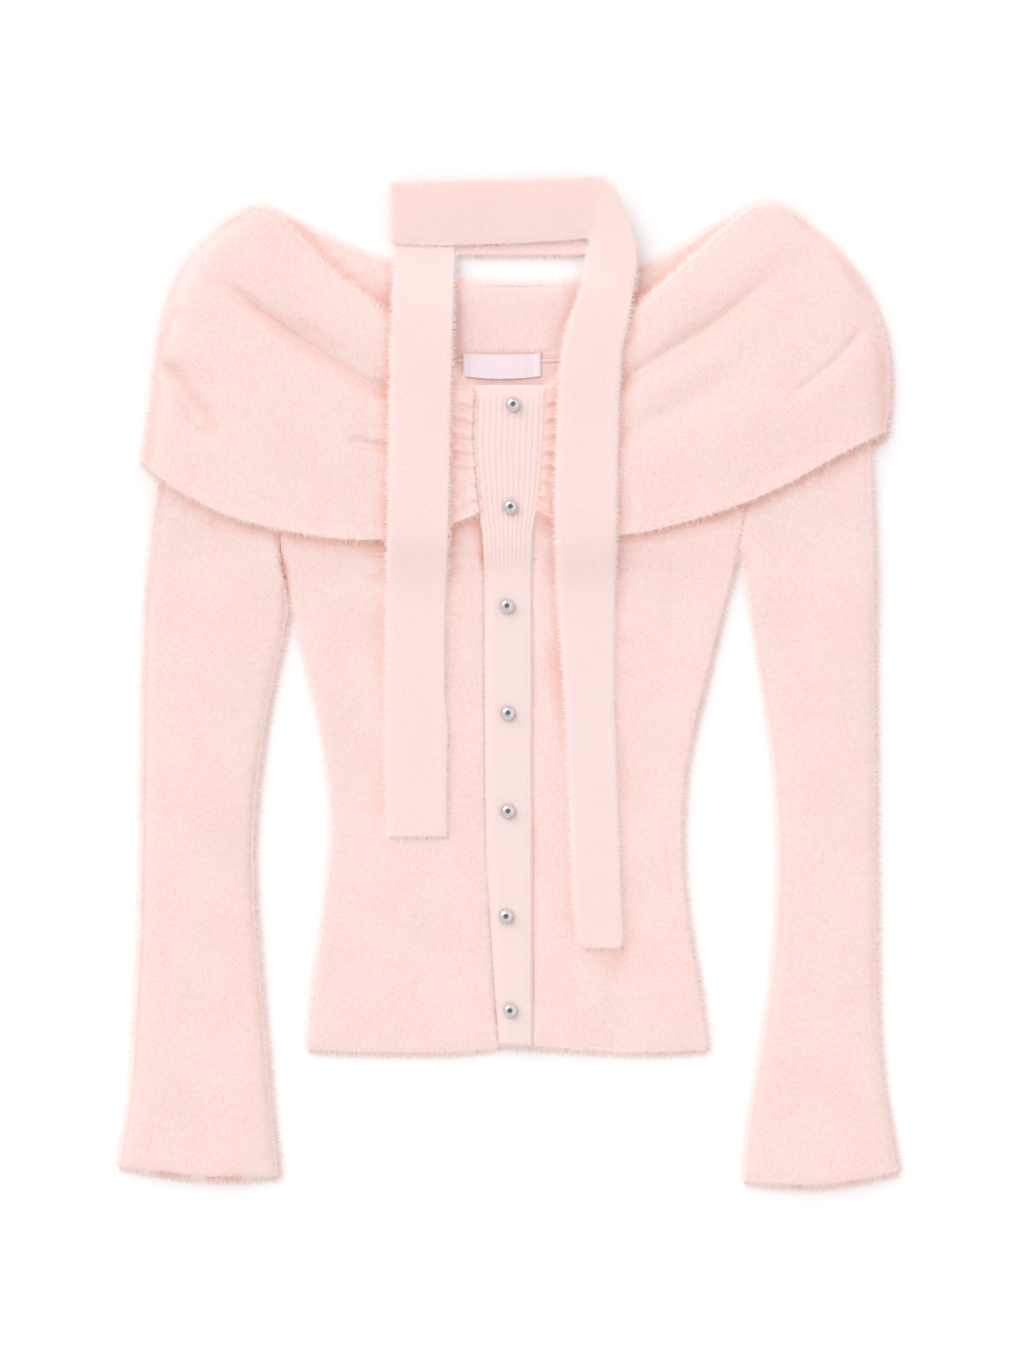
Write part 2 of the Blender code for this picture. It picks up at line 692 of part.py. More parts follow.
def add_button(number, x, y):
    """A polished dome with a small step round its foot, turned on its own axis."""
    r, h = BUTTON_RADIUS, BUTTON_HEIGHT
    profile = [(0, h)]
    profile += [(0.86 * r * sin(a), 0.22 * h + 0.78 * h * cos(a))
                for a in (pi * k / 10 for k in range(1, 6))]
    profile += [(r, 0.2 * h), (r, 0.05 * h), (0.93 * r, 0), (0, 0)]
    mesh = bpy.data.meshes.new(f"button_{number}")
    bm = bmesh.new()
    points = [bm.verts.new((px * MM, 0, pz * MM)) for px, pz in profile]
    for a, b in zip(points, points[1:]):
        bm.edges.new((a, b))
    bm.to_mesh(mesh)
    bm.free()
    piece = add_object(f"button_{number}", mesh, ("steel", STEEL, 0.12, 1.0))
    turn = piece.modifiers.new("Turn", "SCREW")
    turn.axis = "Z"
    turn.steps = turn.render_steps = 16
    turn.use_merge_vertices = True
    turn.merge_threshold = 1e-6
    z = 2 * LAYER + lift(y) + RIB_CREST + SEWN_ON
    piece.location = (MM * (x - MIDDLE[0]), MM * (y - MIDDLE[1]), MM * z)


for old in list(bpy.data.objects):
    bpy.data.objects.remove(old)
cardigan = bpy.data.collections.new("off_shoulder_cardigan")
bpy.context.scene.collection.children.link(cardigan)

add_back_collar()
add_body()
add_sleeve("sleeve_right", SLEEVE_RIGHT, "right")
add_sleeve("sleeve_left", SLEEVE_LEFT, "left")
add_bands()
add_front_collar("collar_right", COLLAR_RIGHT, CREASES_RIGHT, -1)
add_front_collar("collar_left", COLLAR_LEFT, CREASES_LEFT, 1)
add_label()
add_scarf()
for count, (button_x, button_y) in enumerate(BUTTONS, 1):
    add_button(count, button_x, button_y)
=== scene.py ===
# %% [markdown]
# # An off-shoulder cardigan of brushed knit, laid flat with its scarf
#
# The real thing is a small, soft cardigan: a deep collar that folds over at the neck and lies
# across the upper arms, a ribbed band with polished domes down the front, two long flared
# sleeves and a narrow scarf in the same yarn. It was photographed from straight above on white.
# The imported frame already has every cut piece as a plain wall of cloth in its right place.
# This lesson dresses them: softer walls, folds and gathers, a nap of fine fibre, satin, metal,
# then the studio.

# %% Load the frame and keep its box
from math import cos, exp, hypot, pi, radians, sin

import bmesh
import bpy
import numpy as np
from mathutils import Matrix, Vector, kdtree
from mathutils.bvhtree import BVHTree


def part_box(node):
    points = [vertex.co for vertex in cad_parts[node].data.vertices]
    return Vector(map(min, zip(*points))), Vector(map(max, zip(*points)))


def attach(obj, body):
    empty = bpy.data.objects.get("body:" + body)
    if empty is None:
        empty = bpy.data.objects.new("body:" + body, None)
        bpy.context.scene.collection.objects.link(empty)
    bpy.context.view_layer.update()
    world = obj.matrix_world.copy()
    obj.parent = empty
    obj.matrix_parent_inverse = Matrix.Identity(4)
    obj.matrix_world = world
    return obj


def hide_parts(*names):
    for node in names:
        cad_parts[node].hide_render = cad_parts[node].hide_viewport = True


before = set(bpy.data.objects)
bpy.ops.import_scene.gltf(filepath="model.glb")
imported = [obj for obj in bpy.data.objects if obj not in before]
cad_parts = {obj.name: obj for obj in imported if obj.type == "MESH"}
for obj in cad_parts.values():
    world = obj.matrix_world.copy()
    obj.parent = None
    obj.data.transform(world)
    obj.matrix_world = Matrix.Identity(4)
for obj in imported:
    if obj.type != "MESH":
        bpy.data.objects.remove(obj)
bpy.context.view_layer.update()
MM = 0.001
print(len(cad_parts), "cut pieces from", sorted(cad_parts)[:4], "...")


# %% Colours as hex, turned to the linear values that shaders want
def linear(hex_colour):
    """An sRGB hex colour as linear red, green, blue and 1."""
    parts = [int(hex_colour[i:i + 2], 16) / 255 for i in (1, 3, 5)]
    return (*[c / 12.92 if c <= 0.04045 else ((c + 0.055) / 1.055) ** 2.4 for c in parts], 1)


KNIT_HEX = "#f9ddd9"
print("blush yarn is", [round(c, 3) for c in linear(KNIT_HEX)[:3]], "in linear light")


# %% One small function adds a node with its settings and links
def add_node(tree, kind, links=None, settings=None, **sockets):
    """A node of that kind: settings are its properties, sockets its input values by name, and
    links join an input, by name or number, to another node's output."""
    node = tree.nodes.new(kind)
    for name, value in (settings or {}).items():
        setattr(node, name, value)
    for name, value in sockets.items():
        node.inputs[name.replace("_", " ")].default_value = value
    for name, output in (links or {}).items():
        tree.links.new(output, node.inputs[name])
    return node


# %% Two more make an object and a material
def new_object(name, data):
    made = bpy.data.objects.new(name, data)
    bpy.context.scene.collection.objects.link(made)
    return made


def new_material(name, **values):
    """A material, its node tree and its Principled shader with some of the inputs set."""
    made = bpy.data.materials.new(name)
    made.use_nodes = True
    shader = made.node_tree.nodes["Principled BSDF"]
    for socket, value in values.items():
        shader.inputs[socket.replace("_", " ")].default_value = value
    return made, made.node_tree, shader


# %% [markdown]
# ## The brushed knit
#
# The yarn is a soft blend spun with long fine fibre and brushed after knitting, so the loops
# vanish under a felt of hairs. Under the nap the cloth needs a colour a little deeper than the
# hair tips, a fine uneven height where the felt clumps, and a sheen, because fibre ends catch
# light at a low angle. The clumps are about 3 mm across. Between two layers the light has passed
# through other fibre, so shade on this yarn isn't grey but a deeper, warmer pink. That shade is
# painted into the colour where a point sees little open sky.

# %% Shade of other cloth, painted into the fibre's colour
FULL_SHADE, NO_SHADE = 0.45, 0.94  # shares of open sky
# Painted shade: the tint that the colour takes where a point sees little sky
PAINTED_SHADE_TINT = (0.93, 0.64, 0.54, 1)  # what full shade leaves of red, green and blue


def paint_shade(tree, colour):
    """The colour with painted shade, deeper and redder where a point sees little sky. The share of
    open sky is kept on the walls further below."""
    sky = add_node(tree, "ShaderNodeAttribute", settings={"attribute_name": "nap_sky"})
    shade = add_node(tree, "ShaderNodeMapRange", {"Value": sky.outputs["Fac"]},
                     From_Min=FULL_SHADE, From_Max=NO_SHADE)
    # Painted shade: the tint where the sky is least, white where it is open
    tone_and_painted_shade = add_node(tree, "ShaderNodeMix", {"Factor": shade.outputs[0]}, {"data_type": "RGBA"})
    tone_and_painted_shade.inputs[6].default_value = PAINTED_SHADE_TINT
    tone_and_painted_shade.inputs[7].default_value = (1, 1, 1, 1)
    both = add_node(tree, "ShaderNodeMix", {6: colour, 7: tone_and_painted_shade.outputs[2]},
                    {"data_type": "RGBA", "blend_type": "MULTIPLY"})
    both.inputs["Factor"].default_value = 1
    return both.outputs[2]


# %% Brushed knit, the cloth under the nap
def let_light_in(shader):
    """Light sinks a few millimetres into a loose yarn, red furthest, so that shadows stay warm."""
    shader.inputs["Subsurface Weight"].default_value = 0.5
    shader.inputs["Subsurface Radius"].default_value = (1.0, 0.4, 0.3)
    shader.inputs["Subsurface Scale"].default_value = 3.5 * MM


BROAD_SHARE = 0.4  # how much the slow change of colour counts beside the clumps


def brushed_knit(name, hex_colour, hex_deep, clump_mm=3.0, depth_mm=0.35):
    """Felted cloth, mottled between two colours in clumps of that size and depth."""
    found, tree, shader = new_material(name, Roughness=0.95, Sheen_Weight=0.35,
                                       Sheen_Roughness=0.6, Specular_IOR_Level=0.1)
    let_light_in(shader)
    place = add_node(tree, "ShaderNodeTexCoord").outputs["Object"]
    clumps = add_node(tree, "ShaderNodeTexNoise", {"Vector": place}, Scale=1000 / clump_mm,
                      Detail=3.0, Roughness=0.6)
    broad = add_node(tree, "ShaderNodeTexNoise", {"Vector": place}, Scale=22.0, Detail=2.0)
    both = add_node(tree, "ShaderNodeMath", {0: broad.outputs["Fac"], 2: clumps.outputs["Fac"]},
                    {"operation": "MULTIPLY_ADD"})
    both.inputs[1].default_value = BROAD_SHARE
    share = add_node(tree, "ShaderNodeMapRange", {"Value": both.outputs[0]},
                     From_Min=0.5, From_Max=0.9)
    tint = add_node(tree, "ShaderNodeMix", {"Factor": share.outputs[0]}, {"data_type": "RGBA"})
    tint.inputs[6].default_value = linear(hex_deep)
    tint.inputs[7].default_value = linear(hex_colour)
    # Shade of other cloth is painted into the colour where the cloth sees little sky
    tree.links.new(paint_shade(tree, tint.outputs[2]), shader.inputs["Base Color"])
    bump = add_node(tree, "ShaderNodeBump", {"Height": clumps.outputs["Fac"]},
                    Strength=0.6, Distance=depth_mm * MM)
    tree.links.new(bump.outputs[0], shader.inputs["Normal"])
    return found


knit = brushed_knit("blush_brushed_knit", KNIT_HEX, "#f5d2ce")
scarf_knit = brushed_knit("blush_scarf_knit", "#fadfdc", "#f7d8d4", clump_mm=2.2)
print("knit materials:", knit.name, scarf_knit.name)


# %% [markdown]
# ## Cloth walls from the cut pieces
#
# Each cut piece is a wall 2.6 mm thick made of a coarse grid. A fold of thick knit has no
# corner, so its rim is bevelled first, which also holds the outline where it is, and then the
# grid is subdivided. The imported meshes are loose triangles, so a copy is merged and its
# triangles are paired into four-sided faces before that.

# %% A soft wall made from one cut piece
RIM_MM = 0.8  # width of the bevel round a rim
CORNER = radians(55)  # edges sharper than this belong to a rim


def bevel_rim(rough, rim_mm=RIM_MM):
    rim = rough.modifiers.new("Rim", "BEVEL")
    rim.width = rim_mm * MM
    rim.segments = 2
    rim.limit_method = "ANGLE"
    rim.angle_limit = CORNER


def soft_wall(name, node, levels=2, rim_mm=RIM_MM, look=knit):
    """The cut piece's own wall with rounded rims and finer faces."""
    bm = bmesh.new()
    bm.from_mesh(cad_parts[node].data)
    bmesh.ops.remove_doubles(bm, verts=bm.verts, dist=1e-5)
    bmesh.ops.join_triangles(bm, faces=bm.faces, angle_face_threshold=radians(40),
                             angle_shape_threshold=radians(60))
    mesh = bpy.data.meshes.new(name)
    bm.to_mesh(mesh)
    bm.free()
    rough = new_object(name + "_rough", mesh)
    bevel_rim(rough, rim_mm)
    smooth = rough.modifiers.new("Smooth", "SUBSURF")
    smooth.levels = smooth.render_levels = levels
    return plain_mesh(rough, name, look)


def plain_mesh(rough, name, look):
    """The object's evaluated shape as a plain mesh of its own, with one material."""
    graph = bpy.context.evaluated_depsgraph_get()
    mesh = bpy.data.meshes.new_from_object(rough.evaluated_get(graph), depsgraph=graph)
    bpy.data.objects.remove(rough)
    mesh.materials.clear()
    mesh.materials.append(look)
    mesh.polygons.foreach_set("use_smooth", [True] * len(mesh.polygons))
    return new_object(name, mesh)


def triangles(piece):
    return sum(len(p.vertices) - 2 for p in piece.data.polygons)


# %% Make every wall
WALLS = {
    # piece: (cut piece, look)
    "back": ("back_panel", knit),
    "right_front": ("front_right_panel", knit),
    "left_front": ("front_left_panel", knit),
    "right_sleeve": ("sleeve_right", knit),
    "left_sleeve": ("sleeve_left", knit),
    "button_band": ("band_under", knit),
    "back_collar": ("collar_back", knit),
    "right_collar": ("collar_right", knit),
    "left_collar": ("collar_left", knit),
    "scarf_behind_neck": ("scarf_neck_under", scarf_knit),
    "right_tail": ("scarf_tail_right", scarf_knit),
}
walls = {name: soft_wall(name, node, look=look) for name, (node, look) in WALLS.items()}
print("walls:", {name: triangles(piece) for name, piece in walls.items()})


# %% [markdown]
# ## The scarf from the neck round the bend to its left end
#
# This stretch is one strip that turns a corner, and a wall made from two cut pieces would show a
# seam there. So the strip is a grid between its outer and its inner edge. Pairs of points down
# both edges are enough, because a moving average along the strip rounds the corner between them.
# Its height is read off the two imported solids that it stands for, and averaged the same way.

# %% Helpers for heights
def smooth_step(low, high, value):
    """0 below low, 1 above high and an easy curve between."""
    t = min(max((value - low) / (high - low), 0), 1)
    return t * t * (3 - 2 * t)


def hump(distance, middle, half_width):
    """1 at the middle, fading to both sides."""
    return exp(-(((distance - middle) / half_width) ** 2))


def tree_of(pieces):
    """The faces of some pieces, ready for rays."""
    corners, faces = [], []
    for piece in pieces:
        first = len(corners)
        corners += [v.co.copy() for v in piece.data.vertices]
        faces += [[first + i for i in p.vertices] for p in piece.data.polygons]
    return BVHTree.FromPolygons(corners, faces)


# %% The strip's two edges
STRIP = np.array([
    # outer x, outer y, inner x, inner y
    (-90.6, 382.4, -90.6, 337.6), (-82.6, 383.9, -82.6, 336.6), (-44.6, 384.9, -44.6, 336.0),
    (9.4, 385.9, 9.4, 337.6), (46.4, 386.9, 45.4, 340.0), (60.0, 387.9, 56.0, 341.0),
    (70.3, 387.8, 62.0, 341.0), (77.4, 384.0, 62.8, 340.4), (82.0, 374.0, 62.0, 337.4),
    (87.3, 361.6, 60.9, 333.6), (93.2, 349.0, 59.6, 328.0), (97.2, 334.0, 58.2, 320.0),
    (98.6, 323.0, 56.6, 309.4), (96.9, 309.0, 54.6, 299.4), (94.0, 292.0, 51.0, 288.4),
    (91.7, 275.4, 46.4, 275.4), (86.9, 255.4, 41.6, 255.4), (84.4, 216.4, 38.4, 216.4),
    (83.0, 139.4, 36.0, 139.4), (81.8, 62.4, 38.4, 62.4), (81.2, -14.6, 44.2, -14.6),
    (84.0, -90.6, 47.9, -90.6), (86.6, -167.6, 49.9, -167.6), (88.4, -200.6, 54.4, -200.6),
    (85.9, -205.6, 58.4, -205.6),
])
STRIP_WALL_MM = 2.2
NECK_TILT_MM = 7.0  # the strip's upper edge lies on its own fold, so it faces away from the light
NECK_Y = (290, 335)  # from where to where up the neck the tilt sets in


def averaged(values, reach):
    """A moving average over 2 * reach + 1 values, which leaves both ends where they are."""
    padded = np.concatenate([2 * values[0] - values[reach:0:-1], values,
                             2 * values[-1] - values[-2:-reach - 2:-1]])
    return np.array([padded[i:i + 2 * reach + 1].mean(axis=0) for i in range(len(values))])


def strip_height(solids, x, y):
    """Top of the solids at one place in plan, in millimetres, or nothing in the gap between."""
    hit = solids.ray_cast(Vector((x * MM, y * MM, 0.1)), Vector((0, 0, -1)))[0]
    return hit.z / MM if hit else None


# %% The strip itself
def corner_strip(name, nodes, steps=330, across=14):
    """One wall that follows the strip's edges at the height of the given cut pieces."""
    middle = (STRIP[:, :2] + STRIP[:, 2:]) / 2
    along = np.concatenate([[0], np.cumsum(np.hypot(*np.diff(middle, axis=0).T))])
    spots = np.linspace(0, along[-1], steps + 1)
    edges = averaged(np.stack([np.interp(spots, along, column) for column in STRIP.T], axis=1), 2)
    solids = tree_of([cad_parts[node] for node in nodes])
    centre = (edges[:, :2] + edges[:, 2:]) / 2
    heights = [strip_height(solids, x, y) for x, y in centre]
    known = [i for i, z in enumerate(heights) if z is not None]
    heights = averaged(np.interp(range(steps + 1), known, [heights[i] for i in known]), 7)
    bm = bmesh.new()
    bmesh.ops.create_grid(bm, x_segments=across, y_segments=steps, size=1)
    for vertex in bm.verts:
        u, row = (vertex.co.x + 1) / 2, round((vertex.co.y + 1) / 2 * steps)
        x, y = edges[row, 2:] * (1 - u) + edges[row, :2] * u
        tilt = NECK_TILT_MM * u * smooth_step(*NECK_Y, y)
        vertex.co = (MM * x, MM * y, MM * (heights[row] + tilt))
    mesh = bpy.data.meshes.new(name)
    bmesh.ops.recalc_face_normals(bm, faces=bm.faces)
    bm.to_mesh(mesh)
    bm.free()
    if mesh.polygons[0].normal.z < 0:
        mesh.flip_normals()
    rough = new_object(name + "_rough", mesh)
    wall = rough.modifiers.new("Wall", "SOLIDIFY")
    wall.thickness = STRIP_WALL_MM * MM
    wall.offset = -1
    bevel_rim(rough)
    return plain_mesh(rough, name, scarf_knit)


walls["scarf_round_neck"] = corner_strip("scarf_round_neck", ["scarf_neck", "scarf_tail_left"])
print("scarf strip:", triangles(walls["scarf_round_neck"]), "triangles")


# %% [markdown]
# ## Folds, gathers and soft waves
#
# A wide collar pulled down off the shoulders drags its upper layer into a few diagonal folds
# that start at the neck and die away towards the arm. At the centre front its depth is drawn in
# along the ribbed band, which leaves a row of small pleats. Both are heights added to the collar's
# outer layer, so they are worked out from where a point lies in plan. All lengths are in
# millimetres from the middle of the outline.

# %% A soft trough through some points
def trough(x, y, points, width):
    """1 on the line through the points, fading to 0 at its two ends and to both sides."""
    nearest, along = 1e9, 0
    pairs = list(zip(points, points[1:]))
    for number, ((ax, ay), (bx, by)) in enumerate(pairs):
        dx, dy = bx - ax, by - ay
        t = min(max(((x - ax) * dx + (y - ay) * dy) / (dx * dx + dy * dy), 0), 1)
        away = hypot(x - ax - dx * t, y - ay - dy * t)
        if away < nearest:
            nearest, along = away, (number + t) / len(pairs)
    across = exp(-((nearest / width) ** 2))
    return across * smooth_step(0, 0.16, along) * smooth_step(1, 0.75, along)


# %% Where the collar folds
FOLDS = {
    # piece: (points along the fold, depth, half width)
    "right_collar": (
        (((-58, 206), (-90, 221), (-111, 231), (-132, 243), (-162, 264), (-186, 281), (-210, 298),
          (-236, 314)), 2.8, 4.6),
        (((-58, 213), (-90, 228), (-111, 239), (-132, 251), (-162, 272), (-210, 306)), 1.2, 9),
        (((-228, 184), (-238, 201), (-250, 221), (-258, 237), (-265, 254)), 3.6, 8),
        (((-60, 177), (-92, 180), (-112, 183), (-126, 189)), 1.6, 4),
        (((-236, 262), (-252, 281), (-266, 288)), 0.9, 5),
        (((-47, 132), (-90, 120.5), (-133, 121), (-175, 129), (-212, 138), (-246, 156),
          (-274, 181)), 0.2, 1.5),
    ),
    "left_collar": (
        (((56, 211), (86, 229), (104, 241), (128, 256), (152, 270), (176, 288), (200, 309),
          (226, 338)), 1.3, 4.6),
        (((56, 218), (86, 236), (128, 264), (176, 297), (214, 330)), 0.7, 10),
        (((56, 173), (88, 189), (122, 207), (152, 225), (182, 246), (206, 266)), 0.8, 8),
        (((214, 216), (232, 230), (252, 246), (264, 260), (276, 277)), 1.7, 4.5),
        (((50, 131), (86, 124), (124, 132), (165, 144), (208, 164), (248, 188),
          (276, 204)), 0.2, 1.5),
    ),
}
NARROW_MM = 5  # a fold narrower than this needs finer cloth
LAYER_FROM_MM = 9.6  # height above which a point belongs to the collar's outer layer
STEEP = 0.4  # a point whose normal rises less than this lies on a rim


# %% Finer cloth along a fold, and three ways to raise it
def refine(piece, lines, reach_mm, cell_mm, passes=3):
    """Cuts the edges near some lines until they are short enough to carry a narrow crease."""
    bm = bmesh.new()
    bm.from_mesh(piece.data)
    for _ in range(passes):
        near = {v for v in bm.verts if v.co.z > LAYER_FROM_MM * MM and max(
            trough(v.co.x / MM, v.co.y / MM, points, reach_mm) for points, _, _ in lines) > 0.03}
        long = [e for e in bm.edges if e.calc_length() > cell_mm * MM
                and e.verts[0] in near and e.verts[1] in near]
        bmesh.ops.subdivide_edges(bm, edges=long, cuts=1, use_grid_fill=True)
    bm.to_mesh(piece.data)
    bm.free()


def raise_layer(piece, height):
    """Adds height(x, y, z), in millimetres, to both skins of a folded piece's outer layer."""
    for vertex in piece.data.vertices:
        x, y, z = (c / MM for c in vertex.co)
        share = smooth_step(LAYER_FROM_MM, LAYER_FROM_MM + 0.8, z)
        if share:
            vertex.co.z += MM * share * height(x, y, z)
    piece.data.update()


def round_rim(piece, share, reach_mm, from_mm=0.0, towards=None):
    """Lets the upper skin sink towards the rim on a quarter ellipse, as a thick soft edge does.
    The share is how much of its height above the rim's middle is lost at the rim. A collar hides
    a second layer, so for it only points above from_mm count, and only the rim on one side."""
    mesh = piece.data
    rim = [v.co.copy() for v in mesh.vertices if abs(v.normal.z) < STEEP and v.co.z >= from_mm * MM
           and (towards is None or v.normal.dot(towards) > 0.3)]
    near = kdtree.KDTree(len(rim))
    for number, place in enumerate(rim):
        near.insert((place.x, place.y, 0), number)
    near.balance()
    for vertex in mesh.vertices:
        found = near.find_n((vertex.co.x, vertex.co.y, 0), 8)
        away = found[0][2] / (reach_mm * MM)
        if away < 1 and vertex.co.z >= from_mm * MM:
            level = sum(rim[number].z for _, number, _ in found) / len(found)
            if vertex.co.z > level:
                vertex.co.z -= (vertex.co.z - level) * share * (1 - (1 - (1 - away) ** 2) ** 0.5)
    mesh.update()


def raise_skin(piece, height):
    """Adds height(x, y, z), in millimetres, to the points whose skin faces up."""
    up = [vertex.normal.z for vertex in piece.data.vertices]
    for vertex, facing in zip(piece.data.vertices, up):
        share = smooth_step(0.2, 0.7, facing)
        if share:
            x, y, z = (c / MM for c in vertex.co)
            vertex.co.z += MM * share * height(x, y, z)
    piece.data.update()


# %% The collar's folds, pleats and slow waves
WAVE_MM = 0.5  # height of the slow waves that no cloth lies without
PLEAT_MM, PLEAT_STEP_MM = 0.3, 11.5
PLEAT_PEAK_MM, PLEAT_REACH_MM = 9, 60  # distances from the seam
PLEAT_SLANT = 0.22
PLEATS_FROM_Y, PLEATS_TO_Y = 128, 240


def collar_height(name, seam_x, side):
    """The collar's heights, with pleats that start at a seam and run to that side."""
    def height(x, y, z):
        rise = -sum(depth * trough(x, y, points, width) for points, depth, width in FOLDS[name])
        away = (x - seam_x(y)) * side
        if PLEATS_FROM_Y < y < PLEATS_TO_Y and 0 < away < PLEAT_REACH_MM:
            phase = 2 * pi * (y - PLEAT_SLANT * away - 132) / PLEAT_STEP_MM + 0.9 * sin(y / 9)
            fading = exp(1 - away / PLEAT_PEAK_MM)
            start = smooth_step(PLEATS_FROM_Y, PLEATS_FROM_Y + 12, y)
            rise += PLEAT_MM * cos(phase) * away / PLEAT_PEAK_MM * fading * start
        return rise + WAVE_MM * sin(x / 17 + y / 31) * sin(y / 23 - x / 41)
    return height


def right_seam(y):
    """How far across the band's sewn edge lies at that height in plan."""
    return -21 - 7.5 * smooth_step(117, 175, y)


def left_seam(y):
    return 18 + 8.5 * smooth_step(117, 185, y)


for name, seam_x, side in (("right_collar", right_seam, -1), ("left_collar", left_seam, 1)):
    round_rim(walls[name], 0.35, 5, LAYER_FROM_MM, Vector((0, -1, 0)))
    refine(walls[name], [fold for fold in FOLDS[name] if fold[2] < NARROW_MM], 9, 1.6)
    raise_layer(walls[name], collar_height(name, seam_x, side))
print("folds:", {name: len(folds) for name, folds in FOLDS.items()})


# %% Rounded rims and slow waves on the other walls
RIMS = {
    # wall: (share of its height that it loses at the rim, width of the slope in millimetres)
    "right_sleeve": (0.65, 9), "left_sleeve": (0.4, 8), "right_front": (0.9, 8),
    "left_front": (0.9, 8), "back": (0.8, 6), "back_collar": (0.8, 7), "right_tail": (0.6, 3),
    "scarf_round_neck": (0.6, 3),
}
for name, (share, reach) in RIMS.items():
    round_rim(walls[name], share, reach)
for name in ("right_front", "left_front", "right_sleeve", "left_sleeve", "back_collar"):
    raise_skin(walls[name], lambda x, y, z: WAVE_MM * sin(x / 19 + y / 47) * sin(y / 29 - x / 37))
print("rounded:", ", ".join(RIMS))


# %% What the layers do to each other
FLAP_MM = 3  # height by which the collar's back flap raises whatever lies on it
PRESS = 0.24  # share of a sleeve's height that the collar's weight takes


def press_sleeve(wall):
    """The air between a sleeve's two layers is pressed out under the collar."""
    for vertex in wall.data.vertices:
        _, y, z = (c / MM for c in vertex.co)
        foot = FLAP_MM * smooth_step(52, 95, y)
        vertex.co.z = MM * (foot + (z - foot) * (1 - PRESS * smooth_step(70, 112, y)))
    wall.data.update()


def flush_with_band(x, y, z):
    """The wearer's left front fills out beside the band's free edge, so that they lie flush."""
    return 1.2 * hump(x, 24, 8) * smooth_step(120, 90, y)


press_sleeve(walls["right_sleeve"])
press_sleeve(walls["left_sleeve"])
raise_skin(walls["left_front"], flush_with_band)
PAD_MM = 2.4  # the doubled scarf behind the neck is a thick pad
raise_skin(walls["scarf_behind_neck"], lambda x, y, z: PAD_MM)
print("left front reaches", round(max(v.co.z for v in walls["left_front"].data.vertices) / MM, 1), "mm")


# %% [markdown]
# ## The ribbed band
#
# The upper band is knitted in ribs, twelve across, drawn tight at the waist and spread into a
# panel between the two gathered ends of the collar. Ribs follow the band's own width, so the
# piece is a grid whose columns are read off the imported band's two edges. Each rib is a rounded
# ridge, strong where the band is spread and faint below, and the free edge has a rolled border.

# %% The band's two edges and how it lies
BAND = np.array([
    # height in plan, left edge, right edge
    (-277, -7.6, 19.0), (-231, -11.0, 18.7), (-192, -13.6, 18.7), (-140, -17.2, 18.7),
    (-60, -18.4, 18.7), (96, -18.9, 18.7), (117, -19.8, 19.6), (142, -24.4, 24.2),
    (181, -28.8, 27.6), (231, -27.0, 29.5),
])
TABLE_TO_ROW_MM = 2.6  # how far up the table above lies from the scene's middle
BAND_LOW, BAND_TOP = -279.6, 228.4
BAND_FOOT_MM, BAND_WALL_MM = 6, 1.9
RIBS = 12
RIB_MM = 0.38  # from groove to ridge where the band is spread
BORDER_MM = 0.25  # rise of the rolled border, and depth of the lines beside it and at the seam
STITCH_MM = 1.7
SPREAD_Y = (62, 118)  # below the first the ribs are drawn tight, above the second they are spread


def band_edges(y):
    return (np.interp(y + TABLE_TO_ROW_MM, BAND[:, 0], BAND[:, 1]),
            np.interp(y + TABLE_TO_ROW_MM, BAND[:, 0], BAND[:, 2]))


def band_foot(x, y):
    """Height of the band's under side. The collar's back flap raises it, and its sewn edge drops
    to the front panel's level."""
    left, _ = band_edges(y)
    drop = (1 - smooth_step(0.6, 8.0, x - left)) * (1 - smooth_step(75.4, 97.4, y))
    return BAND_FOOT_MM + FLAP_MM * smooth_step(80.4, 110.4, y) - 2.4 * drop


# %% Ribs, a rolled border, and rims that sink
def rib_height(x, y):
    left, right = band_edges(y)
    sewn, free, below_top = x - left, right - x, BAND_TOP - y
    tight = 0.06 + 0.94 * smooth_step(*SPREAD_Y, y)
    spread = tight * smooth_step(BAND_TOP - 1, BAND_TOP - 16, y)
    ridge = spread * RIB_MM * abs(sin(pi * RIBS * (sewn / (right - left)))) ** 0.8
    border = BORDER_MM * hump(free, 2.0, 1.2) - BORDER_MM * hump(free, 4.4, 0.7)
    seam = -BORDER_MM * hump(sewn, 1.4, 0.8)
    rim = min(sewn / 2.5, free / 3.5, 1, below_top / 4)
    sink = 0.4 + 1.2 * smooth_step(left + 12, right, x)
    top = 1 - min(below_top / 12, 1)
    return (ridge + border + seam) * rim - sink * (1 - rim) ** 2 * (1 - top) - 1.6 * top ** 2


def ribbed_band(name, columns=96, rows=180):
    """A wall on a grid that follows the band's edges, with a UV map that counts ribs across and
    stitches along. Its lower end droops a little towards the free edge."""
    bm = bmesh.new()
    bmesh.ops.create_grid(bm, x_segments=columns, y_segments=rows, size=1)
    spots = bm.loops.layers.uv.new("UVMap")
    for vertex in bm.verts:
        u, v = (vertex.co.x + 1) / 2, (vertex.co.y + 1) / 2
        y = BAND_LOW + (BAND_TOP - BAND_LOW) * v - 1.5 * u * (1 - v)
        left, right = band_edges(y)
        x = left + (right - left) * u
        vertex.co = (MM * x, MM * y, MM * band_foot(x, y))
    for face in bm.faces:
        for loop in face.loops:
            x, y = loop.vert.co.x / MM, loop.vert.co.y / MM
            left, right = band_edges(y)
            loop[spots].uv = (RIBS * (x - left) / (right - left), y / STITCH_MM)
    mesh = bpy.data.meshes.new(name)
    bm.to_mesh(mesh)
    bm.free()
    rough = new_object(name + "_rough", mesh)
    wall = rough.modifiers.new("Wall", "SOLIDIFY")
    wall.thickness = BAND_WALL_MM * MM
    wall.offset = 1
    piece = plain_mesh(rough, name, rib_knit)
    raise_skin(piece, lambda x, y, z: rib_height(x, y))
    return piece


